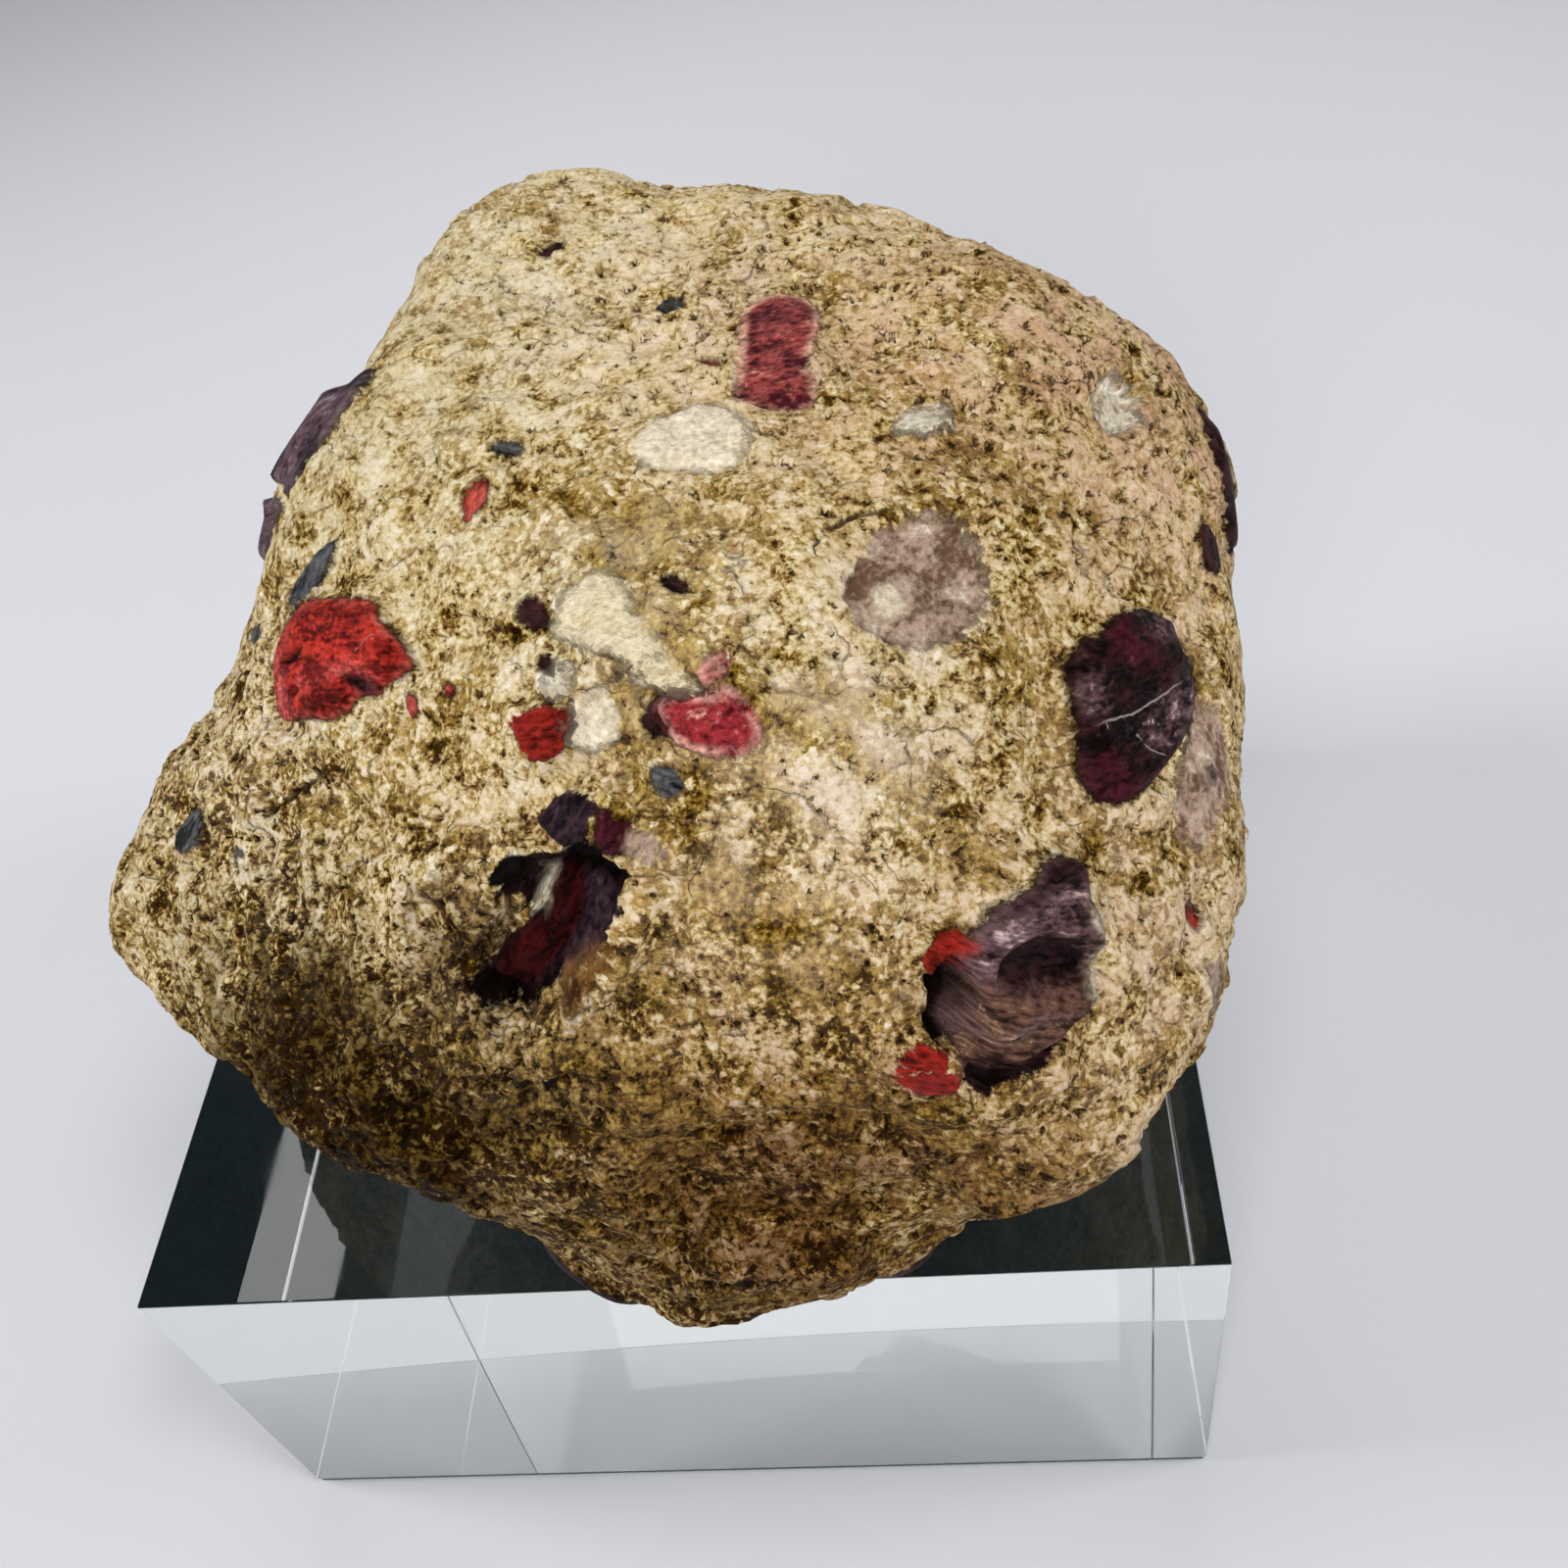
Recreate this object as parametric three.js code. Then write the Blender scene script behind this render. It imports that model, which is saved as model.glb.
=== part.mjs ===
// A puddingstone cobble at rest on a clear acrylic display block, with a thin black sheet under the block.
// Millimetres, +Z up. -Y is the side on show. The origin is the centre of the black sheet's underside.

import * as THREE from 'three';
import { mergeVertices } from 'three/addons/utils/BufferGeometryUtils.js';
import { ImprovedNoise } from 'three/addons/math/ImprovedNoise.js';

// Driving dimensions

const stand = {
  width: 102,
  depth: 106,
  height: 47,
  chamfer: 0.6,
  sheetThickness: 0.8,
  sheetInset: 0.8,
  clearance: 0.3,
};

const stone = {
  centre: new THREE.Vector3(2, -8, 83),
  meshDetail: 21,
  edgeSharpness: 14,
  grainHeight: 0.45,
  grainLength: 9,
};

// Directions on the stone are a bearing (0 is -Y, 90 is +X) and an elevation, in degrees.
// The cobble is a block with its edges worn round: each worn side faces a direction and lies at a reach
// in millimetres from the stone's centre.
const wornSides = [
  { name: 'crown', bearing: 0, elevation: 86, reach: 34 },
  { name: 'base', bearing: 0, elevation: -90, reach: 34.6 },
  { name: 'upper left side', bearing: -106, elevation: 33, reach: 33 },
  { name: 'left corner', bearing: -90, elevation: -15, reach: 64 },
  { name: 'lower left side', bearing: -28, elevation: -20, reach: 55 },
  { name: 'under left', bearing: -43, elevation: -23, reach: 50 },
  { name: 'toe', bearing: -8, elevation: -51, reach: 66 },
  { name: 'under right', bearing: 42, elevation: -38, reach: 55 },
  { name: 'lower right side', bearing: 66, elevation: -29, reach: 59 },
  { name: 'right side', bearing: 91, elevation: -11, reach: 49.5 },
  { name: 'right back', bearing: 129, elevation: 29, reach: 50 },
  { name: 'right back shoulder', bearing: 133, elevation: 35, reach: 48.5 },
  { name: 'back shoulder', bearing: 166, elevation: 30, reach: 42.5 },
  { name: 'left back shoulder', bearing: -143, elevation: 32, reach: 54 },
  { name: 'front', bearing: -3, elevation: 4, reach: 52.5 },
  { name: 'brow', bearing: -6, elevation: 39, reach: 45 },
  { name: 'right brow', bearing: 56, elevation: 43, reach: 47.5 },
  { name: 'left brow', bearing: -48, elevation: 45, reach: 34 },
  { name: 'back', bearing: 178, elevation: -4, reach: 46 },
  { name: 'left back', bearing: -126, elevation: -16, reach: 44 },
  { name: 'right under back', bearing: 138, elevation: -26, reach: 48 },
  { name: 'underside front', bearing: 0, elevation: -76, reach: 41 },
  { name: 'underside right', bearing: 95, elevation: -72, reach: 41 },
  { name: 'underside back', bearing: 175, elevation: -64, reach: 40 },
  { name: 'underside left', bearing: -95, elevation: -70, reach: 40 },
];

// Broad swellings, and hollows where the height is negative. The spread is in degrees.
const swellings = [
  { name: 'left knuckle', bearing: -66, elevation: -2, height: 1.8, spread: 12 },
  { name: 'left waist', bearing: -72, elevation: 22, height: -1.6, spread: 12 },
  { name: 'left hip', bearing: -95, elevation: 42, height: 1.2, spread: 10 },
  { name: 'top left hump', bearing: -160, elevation: 60, height: 2, spread: 12 },
  { name: 'notch left of the toe', bearing: -11, elevation: -20, height: -2, spread: 9 },
  { name: 'notch right of the toe', bearing: 27, elevation: -12, height: -1.3, spread: 6 },
  { name: 'toe', bearing: 3, elevation: -32, height: 2.2, spread: 10 },
  { name: 'right elbow', bearing: 66, elevation: -8, height: 1.2, spread: 12 },
  { name: 'right shoulder knuckle', bearing: 96, elevation: 28, height: 0.9, spread: 10 },
  { name: 'back hollow', bearing: 160, elevation: -2, height: -1.8, spread: 17 },
  { name: 'back knuckle', bearing: -160, elevation: -16, height: 2, spread: 14 },
];

// Pebbles that stand out of the matrix, and hollows where the height is negative. Length, width and
// height are in millimetres. The turn is the long axis's angle, from level towards the stone's top.
const reliefs = [
  { name: 'scarlet jasper', bearing: -40, elevation: 40, length: 13.4, width: 12, turn: 52, height: 0.9 },
  { name: 'plum pebble', bearing: -96, elevation: 50, length: 12, width: 5.6, turn: -61, height: 1.2 },
  { name: 'plum rind', bearing: -88, elevation: 37, length: 6, width: 4, turn: -71, height: 0.8 },
  { name: 'striped jasper', bearing: 80, elevation: 62, length: 13.5, width: 6.5, turn: 10, height: 0.6 },
  { name: 'pink jasper', bearing: 21, elevation: 36, length: 7, width: 4, turn: -35, height: 0.7 },
  { name: 'red pebble', bearing: 3, elevation: 37, length: 4.6, width: 4.4, turn: 0, height: 0.6 },
  { name: 'cream flake', bearing: 16, elevation: 44, length: 13, width: 4.6, turn: -56, height: 0.5 },
  { name: 'oval quartz', bearing: 45, elevation: 62, length: 10, width: 6.4, turn: -44, height: 0.7 },
  { name: 'mauve quartzite', bearing: 48, elevation: 37, length: 12.5, width: 9, turn: -17, height: -0.9 },
  { name: 'grey quartz', bearing: 83, elevation: 32, length: 5.2, width: 4, turn: 34, height: -0.8 },
  { name: 'maroon jasper', bearing: 57, elevation: 18, length: 15, width: 10, turn: 26, height: 1.1 },
  { name: 'socket cap', bearing: 10, elevation: 29, length: 8, width: 5, turn: -40, height: 1.4 },
  { name: 'socket', bearing: 0, elevation: 19, length: 13.5, width: 6.5, turn: 48, height: -4.5 },
  { name: 'socket slab', bearing: 0, elevation: 20, length: 9.5, width: 3.6, turn: 48, height: 2.4 },
  { name: 'socket flank', bearing: 6, elevation: 19, length: 11, width: 3.4, turn: 52, height: 1.2 },
  { name: 'purple pebble', bearing: 37, elevation: 13, length: 13.5, width: 9, turn: 25, height: 2 },
  { name: 'hollow in the purple pebble', bearing: 38, elevation: 11, length: 6, width: 3.6, turn: -17, height: -2.4 },
  { name: 'split beside the purple pebble', bearing: 30, elevation: 11, length: 6, width: 2.6, turn: 78, height: -2.2 },
  { name: 'dark foot', bearing: 32, elevation: 6, length: 6.4, width: 4, turn: 5, height: 1 },
  { name: 'deep red pebble', bearing: 27, elevation: 8.5, length: 5, width: 4, turn: -18, height: 0.8 },
  { name: 'dark pebble at the right', bearing: 88, elevation: 18, length: 13, width: 6, turn: 38, height: 1 },
  { name: 'mauve patch', bearing: 60, elevation: 10, length: 11, width: 6, turn: 20, height: 0.6 },
  { name: 'quartz knob', bearing: -47, elevation: 22, length: 9, width: 7, turn: 20, height: 0.9 },
  { name: 'pale knob', bearing: -5, elevation: 27, length: 6.5, width: 5, turn: 0, height: 0.9 },
  { name: 'lip knob', bearing: 3, elevation: 8, length: 9, width: 5.5, turn: -20, height: 1 },
  { name: 'smooth quartz', bearing: 33, elevation: -4, length: 12, width: 8, turn: 10, height: 1.2 },
  { name: 'recess under the ledge', bearing: 17, elevation: -3, length: 23, width: 15, turn: 10, height: -2.2 },
  { name: 'hollow under the left', bearing: -14, elevation: 3, length: 10, width: 6, turn: -28, height: -2 },
  { name: 'cobble in the recess', bearing: 12, elevation: -14, length: 14, width: 9, turn: 12, height: 1.4 },
  { name: 'maroon pebble underneath', bearing: -7, elevation: -33, length: 11, width: 8, turn: -30, height: 1.2 },
  { name: 'maroon foot', bearing: 24, elevation: -23, length: 4.5, width: 4, turn: 0, height: 0.8 },
  { name: 'quartz low on the right', bearing: 92, elevation: -28, length: 9, width: 7, turn: 30, height: 0.9 },
  { name: 'maroon on the right', bearing: 108, elevation: -8, length: 10, width: 6, turn: -25, height: 0.9 },
  { name: 'scarlet on the right back', bearing: 127, elevation: -24, length: 7, width: 5, turn: 40, height: 0.8 },
  { name: 'quartz on the right back', bearing: 128, elevation: 10, length: 10, width: 8, turn: 15, height: 0.8 },
  { name: 'striped maroon at the back', bearing: 148, elevation: 4, length: 14, width: 8, turn: -50, height: 1.1 },
  { name: 'mauve cobble at the back', bearing: 166, elevation: -22, length: 15, width: 11, turn: 20, height: -1.2 },
  { name: 'scarlet at the back', bearing: 170, elevation: 20, length: 6, width: 4.5, turn: 70, height: 0.7 },
  { name: 'grey pebble at the back', bearing: -174, elevation: -2, length: 8, width: 6, turn: 10, height: 1 },
  { name: 'maroon low at the back', bearing: -164, elevation: -34, length: 8, width: 6, turn: -15, height: 0.9 },
  { name: 'quartz at the left back', bearing: -156, elevation: 12, length: 12, width: 8, turn: 35, height: -1 },
  { name: 'scarlet at the left back', bearing: -143, elevation: 30, length: 8, width: 6, turn: -20, height: 0.9 },
  { name: 'plum at the left back', bearing: -140, elevation: -14, length: 11, width: 7, turn: 60, height: 1.2 },
  { name: 'mauve cobble at the left', bearing: -112, elevation: 2, length: 13, width: 9, turn: -10, height: 0.8 },
  { name: 'maroon low at the left', bearing: -96, elevation: -26, length: 9, width: 6, turn: 25, height: 1 },
  { name: 'quartz at the left corner', bearing: -80, elevation: -14, length: 8, width: 6, turn: -40, height: 0.8 },
  { name: 'maroon under the left', bearing: -52, elevation: -38, length: 8, width: 6, turn: 10, height: 0.9 },
];

// Stone

const noise = new ImprovedNoise();

function direction(bearing, elevation) {
  const b = THREE.MathUtils.degToRad(bearing);
  const e = THREE.MathUtils.degToRad(elevation);
  return new THREE.Vector3(Math.sin(b) * Math.cos(e), -Math.cos(b) * Math.cos(e), Math.sin(e));
}

const sides = wornSides.map((side) => ({ ...side, aim: direction(side.bearing, side.elevation) }));
const lumps = swellings.map((lump) => ({ ...lump, aim: direction(lump.bearing, lump.elevation) }));

// The worn block: a plane for each side, blended where they meet. A higher sharpness gives tighter edges.
function blockReach(aim) {
  let sum = 0;
  for (const side of sides) {
    sum += Math.max(0, aim.dot(side.aim) / side.reach) ** stone.edgeSharpness;
  }
  return sum ** (-1 / stone.edgeSharpness);
}

function swellingHeight(aim) {
  let height = 0;
  for (const lump of lumps) {
    const angle = THREE.MathUtils.radToDeg(aim.angleTo(lump.aim));
    height += lump.height * Math.exp(-((angle / lump.spread) ** 2));
  }
  return height;
}

// A relief's own axes on the surface: level and upward, turned to its long and short axes.
function placeRelief(relief) {
  const aim = direction(relief.bearing, relief.elevation);
  const level = direction(relief.bearing + 90, 0);
  const upward = new THREE.Vector3().crossVectors(level, aim).negate();
  const turn = THREE.MathUtils.degToRad(relief.turn);
  const long = level.clone().multiplyScalar(Math.cos(turn)).addScaledVector(upward, Math.sin(turn));
  const short = level.clone().multiplyScalar(-Math.sin(turn)).addScaledVector(upward, Math.cos(turn));
  const reach = blockReach(aim) + swellingHeight(aim);
  return { ...relief, aim, long, short, reach };
}

// 1 on the relief, 0 off it, with a slightly lobed outline and a rounded shoulder.
const reliefShoulder = 0.28;
const reliefLobes = 0.08;

function reliefCover(aim, relief) {
  const facing = aim.dot(relief.aim);
  if (facing < 0.7) return 0;
  const along = (aim.dot(relief.long) / facing) * (relief.reach / (relief.length / 2));
  const across = (aim.dot(relief.short) / facing) * (relief.reach / (relief.width / 2));
  const around = Math.atan2(across, along);
  const lobes = 1 + reliefLobes * Math.sin(3 * around + relief.bearing);
  const distance = Math.hypot(along, across) * lobes;
  return 1 - THREE.MathUtils.smoothstep(distance, 1 - reliefShoulder, 1 + reliefShoulder);
}

const placedReliefs = reliefs.map(placeRelief);

function reliefHeight(aim) {
  let height = 0;
  for (const relief of placedReliefs) height += relief.height * reliefCover(aim, relief);
  return height;
}

// Lumpy matrix: two sizes of rounded grain clusters.
function grainHeight(point) {
  const coarse = point.clone().divideScalar(stone.grainLength);
  const fine = coarse.clone().multiplyScalar(2.1).addScalar(17.3);
  const coarseNoise = noise.noise(coarse.x, coarse.y, coarse.z);
  const fineNoise = noise.noise(fine.x, fine.y, fine.z);
  return stone.grainHeight * (coarseNoise * 1.6 + fineNoise);
}

function stoneGeometry(restHeight) {
  const geometry = bare(new THREE.IcosahedronGeometry(1, stone.meshDetail));
  const position = geometry.getAttribute('position');
  const aim = new THREE.Vector3();
  for (let i = 0; i < position.count; i++) {
    aim.fromBufferAttribute(position, i).normalize();
    const form = blockReach(aim) + swellingHeight(aim);
    const reach = form + reliefHeight(aim) + grainHeight(aim.clone().multiplyScalar(form));
    const point = aim.clone().multiplyScalar(reach).add(stone.centre);
    position.setXYZ(i, point.x, point.y, Math.max(point.z, restHeight));
  }
  return geometry;
}

// Stand

function bare(geometry) {
  geometry.deleteAttribute('normal');
  geometry.deleteAttribute('uv');
  return mergeVertices(geometry, 1e-4);
}

// A cast block with every edge broken by the same small polished chamfer.
function blockGeometry() {
  const c = stand.chamfer;
  const x = stand.width / 2;
  const y = stand.depth / 2;
  const corners = [
    [c - x, -y], [x - c, -y], [x, c - y], [x, y - c],
    [x - c, y], [c - x, y], [-x, y - c], [-x, c - y],
  ];
  const outline = new THREE.Shape(corners.map(([px, py]) => new THREE.Vector2(px, py)));
  const geometry = new THREE.ExtrudeGeometry(outline, {
    depth: stand.height - 2 * c,
    bevelThickness: c,
    bevelSize: c,
    bevelOffset: -c,
    bevelSegments: 1,
  });
  return bare(geometry.translate(0, 0, c));
}

function sheetGeometry() {
  const width = stand.width - 2 * stand.sheetInset;
  const depth = stand.depth - 2 * stand.sheetInset;
  return bare(new THREE.BoxGeometry(width, depth, stand.sheetThickness));
}

// Assembly

const blockBottom = stand.sheetThickness + stand.clearance;
const blockTop = blockBottom + stand.height;

const stoneFinish = new THREE.MeshStandardMaterial({ color: '#c4b390', roughness: 0.85, metalness: 0 });
const sheetFinish = new THREE.MeshStandardMaterial({ color: '#0d0f11', roughness: 0.5, metalness: 0 });
const acrylicFinish = new THREE.MeshStandardMaterial({
  color: '#f1f6f6', roughness: 0.04, metalness: 0, transparent: true, opacity: 0.3,
});

function addPart(name, geometry, finish, height) {
  const part = new THREE.Mesh(geometry, finish);
  part.name = name;
  part.position.z = height;
  display.add(part);
}

const display = new THREE.Group();
addPart('puddingstone', stoneGeometry(blockTop + stand.clearance), stoneFinish, 0);
addPart('acrylic_block', blockGeometry(), acrylicFinish, blockBottom);
addPart('black_sheet', sheetGeometry(), sheetFinish, stand.sheetThickness / 2);

export default display;
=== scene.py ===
import math
from functools import partial

import bmesh
import bpy
import numpy as np
from mathutils import Matrix, Vector


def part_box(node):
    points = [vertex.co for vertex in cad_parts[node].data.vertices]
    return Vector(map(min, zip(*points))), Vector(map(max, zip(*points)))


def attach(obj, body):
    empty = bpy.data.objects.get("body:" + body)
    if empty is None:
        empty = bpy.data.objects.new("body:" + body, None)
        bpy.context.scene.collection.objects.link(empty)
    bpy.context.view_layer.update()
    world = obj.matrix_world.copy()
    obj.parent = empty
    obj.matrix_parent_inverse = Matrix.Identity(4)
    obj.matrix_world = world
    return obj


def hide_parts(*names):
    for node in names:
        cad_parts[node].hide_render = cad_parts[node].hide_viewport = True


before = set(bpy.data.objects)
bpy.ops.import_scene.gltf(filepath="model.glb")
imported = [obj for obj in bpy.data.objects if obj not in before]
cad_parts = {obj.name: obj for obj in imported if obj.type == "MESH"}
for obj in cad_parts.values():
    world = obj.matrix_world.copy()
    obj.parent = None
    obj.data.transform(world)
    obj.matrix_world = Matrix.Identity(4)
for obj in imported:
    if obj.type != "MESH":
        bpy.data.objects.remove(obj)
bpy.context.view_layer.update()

scene = bpy.context.scene
mm = 0.001


def linear(hexColour):  # sRGB hex to the linear colour that the nodes take
    parts = [int(hexColour[i:i + 2], 16) / 255 for i in (1, 3, 5)]
    return tuple(c / 12.92 if c <= 0.04045 else ((c + 0.055) / 1.055) ** 2.4 for c in parts) + (1.0,)


def socketOf(sockets, name):  # by number, by name, or the first one in use
    if isinstance(name, int):
        return sockets[name]
    return next(s for s in sockets if s.enabled and name in (None, s.name))


def addNode(tree, kind, settings=None, links=None):  # kind is its type, and its operation if it has one
    kind, _, operation = kind.partition(" ")
    made = tree.nodes.new(kind if "Node" in kind else "ShaderNode" + kind)
    if operation:
        made.operation = operation
    for name, value in (settings or {}).items():
        if name == "stops":  # a colour ramp's places and colours
            elements = made.color_ramp.elements
            while len(elements) < len(value):
                elements.new(1)
            for element, (place, colour) in zip(elements, value):
                element.position = place
                element.color = linear(colour)
        elif isinstance(name, str) and hasattr(made, name):
            setattr(made, name, value)
        else:
            socketOf(made.inputs, name).default_value = value
    for name, source in (links or {}).items():
        node, output = source if isinstance(source, tuple) else (source, None)
        tree.links.new(socketOf(node.outputs, output), socketOf(made.inputs, name))
    return made


def newMaterial(name):  # the material, and what adds a node to it
    material = bpy.data.materials.new(name)
    material.use_nodes = True
    material.node_tree.nodes.clear()
    return material, partial(addNode, material.node_tree)


def shapeFrom(built, name):  # an object in the scene, from a bmesh that is done with
    mesh = bpy.data.meshes.new(name)
    built.to_mesh(mesh)
    built.free()
    shape = bpy.data.objects.new(name, mesh)
    scene.collection.objects.link(shape)
    return shape


def pointsOf(mesh):
    points = np.empty(len(mesh.vertices) * 3, np.float32)
    mesh.vertices.foreach_get("co", points)
    return points.reshape(-1, 3)


# ---- camera: above and in front, a little right of the middle, tipped a little to one side
view = {"place": (33.2, -114.8, 180.1), "yaw": 10.76, "down": 46.5, "roll": -12.52, "lens": 35.69,
        "sensor": 36}

cameraData = bpy.data.cameras.new("camera")
cameraData.sensor_width = view["sensor"]
cameraData.lens = view["lens"]
cameraData.clip_start = 5 * mm
camera = bpy.data.objects.new("camera", cameraData)
camera.matrix_world = (
    Matrix.Translation(Vector(view["place"]) * mm)
    @ Matrix.Rotation(math.radians(view["yaw"]), 4, "Z")
    @ Matrix.Rotation(math.radians(90 - view["down"]), 4, "X")
    @ Matrix.Rotation(math.radians(view["roll"]), 4, "Z")
)
scene.collection.objects.link(camera)
scene.camera = camera
print("camera placed")


# ---- the stone
stone = {
    "centre": (2, -8, 83),  # every bearing, elevation and reach is measured from here
    "edgeSharpness": 14,
    "subdivisions": 9,
    "triangles": 196000,
    "clearance": 0.1,
    # the pebbles' mesh, and this far round them, is thinned less, because it carries their outlines and veins
    "pebbleReach": 0.8, "pebbleWeight": 0.2, "pebbleHold": 0.0001,
    "facing": 0.7,  # the least cosine between a place and what lies on it
}

# name, bearing, elevation, reach: the worn sides, each a plane that faces away from the centre
wornSides = [
    ("crown", 0, 86, 34),
    ("base", 0, -90, 34.6),
    ("upper left side", -106, 33, 33),
    ("left corner", -90, -15, 64),
    ("lower left side", -28, -20, 55),
    ("under left", -43, -23, 50),
    ("toe", -8, -51, 66),
    ("under right", 42, -38, 55),
    ("lower right side", 66, -29, 59),
    ("right side", 91, -11, 49.5),
    ("right back", 129, 29, 50),
    ("right back shoulder", 133, 35, 48.5),
    ("back shoulder", 166, 30, 42.5),
    ("left back shoulder", -143, 32, 54),
    ("front", -3, 4, 52.5),
    ("brow", -6, 39, 45),
    ("right brow", 56, 43, 47.5),
    ("left brow", -48, 45, 34),
    ("back", 178, -4, 46),
    ("left back", -126, -16, 44),
    ("right under back", 138, -26, 48),
    ("underside front", 0, -76, 41),
    ("underside right", 95, -72, 41),
    ("underside back", 175, -64, 40),
    ("underside left", -95, -70, 40),
]

# name, bearing, elevation, height, spread: broad knuckles and waists
swellings = [
    ("left knuckle", -66, -2, 1.8, 12),
    ("left waist", -72, 22, -1.6, 12),
    ("left hip", -95, 42, 1.2, 10),
    ("top left hump", -160, 60, 2, 12),
    ("notch left of the toe", -11, -20, -2, 9),
    ("notch right of the toe", 27, -12, -1.3, 6),
    ("toe", 3, -32, 2.2, 10),
    ("right elbow", 66, -8, 1.2, 12),
    ("right shoulder knuckle", 96, 28, 0.9, 10),
    ("back hollow", 160, -2, -1.8, 17),
    ("back knuckle", -160, -16, 2, 14),
]

# A lump is a little three-lobed, and slopes from one share of its half width to another.
softEdge = {"lobes": 0.08, "flat": 0.72, "gone": 1.28}

# name, bearing, elevation, length, width, turn, height: soft lumps and hollows
reliefs = [
    ("scarlet jasper", -40, 40, 13.4, 12, 52, 0.9),
    ("plum pebble", -96, 50, 12, 5.6, -61, 1.2),
    ("plum rind", -88, 37, 6, 4, -71, 0.8),
    ("striped jasper", 80, 62, 13.5, 6.5, 10, 0.6),
    ("pink jasper", 21, 36, 7, 4, -35, 0.7),
    ("red pebble", 3, 37, 4.6, 4.4, 0, 0.6),
    ("cream flake", 16, 44, 13, 4.6, -56, 0.5),
    ("oval quartz", 45, 62, 10, 6.4, -44, 0.7),
    ("mauve quartzite", 48, 37, 12.5, 9, -17, -0.4),
    ("grey quartz", 83, 32, 5.2, 4, 34, -0.8),
    ("maroon jasper", 57, 18, 15, 10, 26, 1.1),
    ("socket cap", 10, 29, 8, 5, -40, 1.4),
    ("socket", 0, 19, 13.5, 6.5, 48, -3),
    ("socket slab", 0, 20, 9.5, 3.6, 48, 1.5),
    ("socket flank", 6, 19, 11, 3.4, 52, 1.2),
    ("purple pebble", 37, 13, 13.5, 9, 25, 2),
    ("hollow in the purple pebble", 38, 11, 6, 3.6, -17, -1.2),
    ("split beside the purple pebble", 30, 11, 6, 2.6, 78, -1.4),
    ("dark foot", 32, 6, 6.4, 4, 5, 1),
    ("deep red pebble", 27, 8.5, 5, 4, -18, 0.8),
    ("dark pebble at the right", 88, 18, 13, 6, 38, 0.6),
    ("mauve patch", 60, 10, 11, 6, 20, 0.6),
    ("quartz knob", -47, 22, 9, 7, 20, 0.9),
    ("pale knob", -5, 27, 6.5, 5, 0, 0.9),
    ("lip knob", 3, 8, 9, 5.5, -20, 1),
    ("smooth quartz", 33, -4, 12, 8, 10, 1.2),
    ("recess under the ledge", 17, -3, 23, 15, 10, -2.2),
    ("hollow under the left", -14, 3, 10, 6, -28, -2),
    ("cobble in the recess", 12, -14, 14, 9, 12, 1.4),
]

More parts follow.
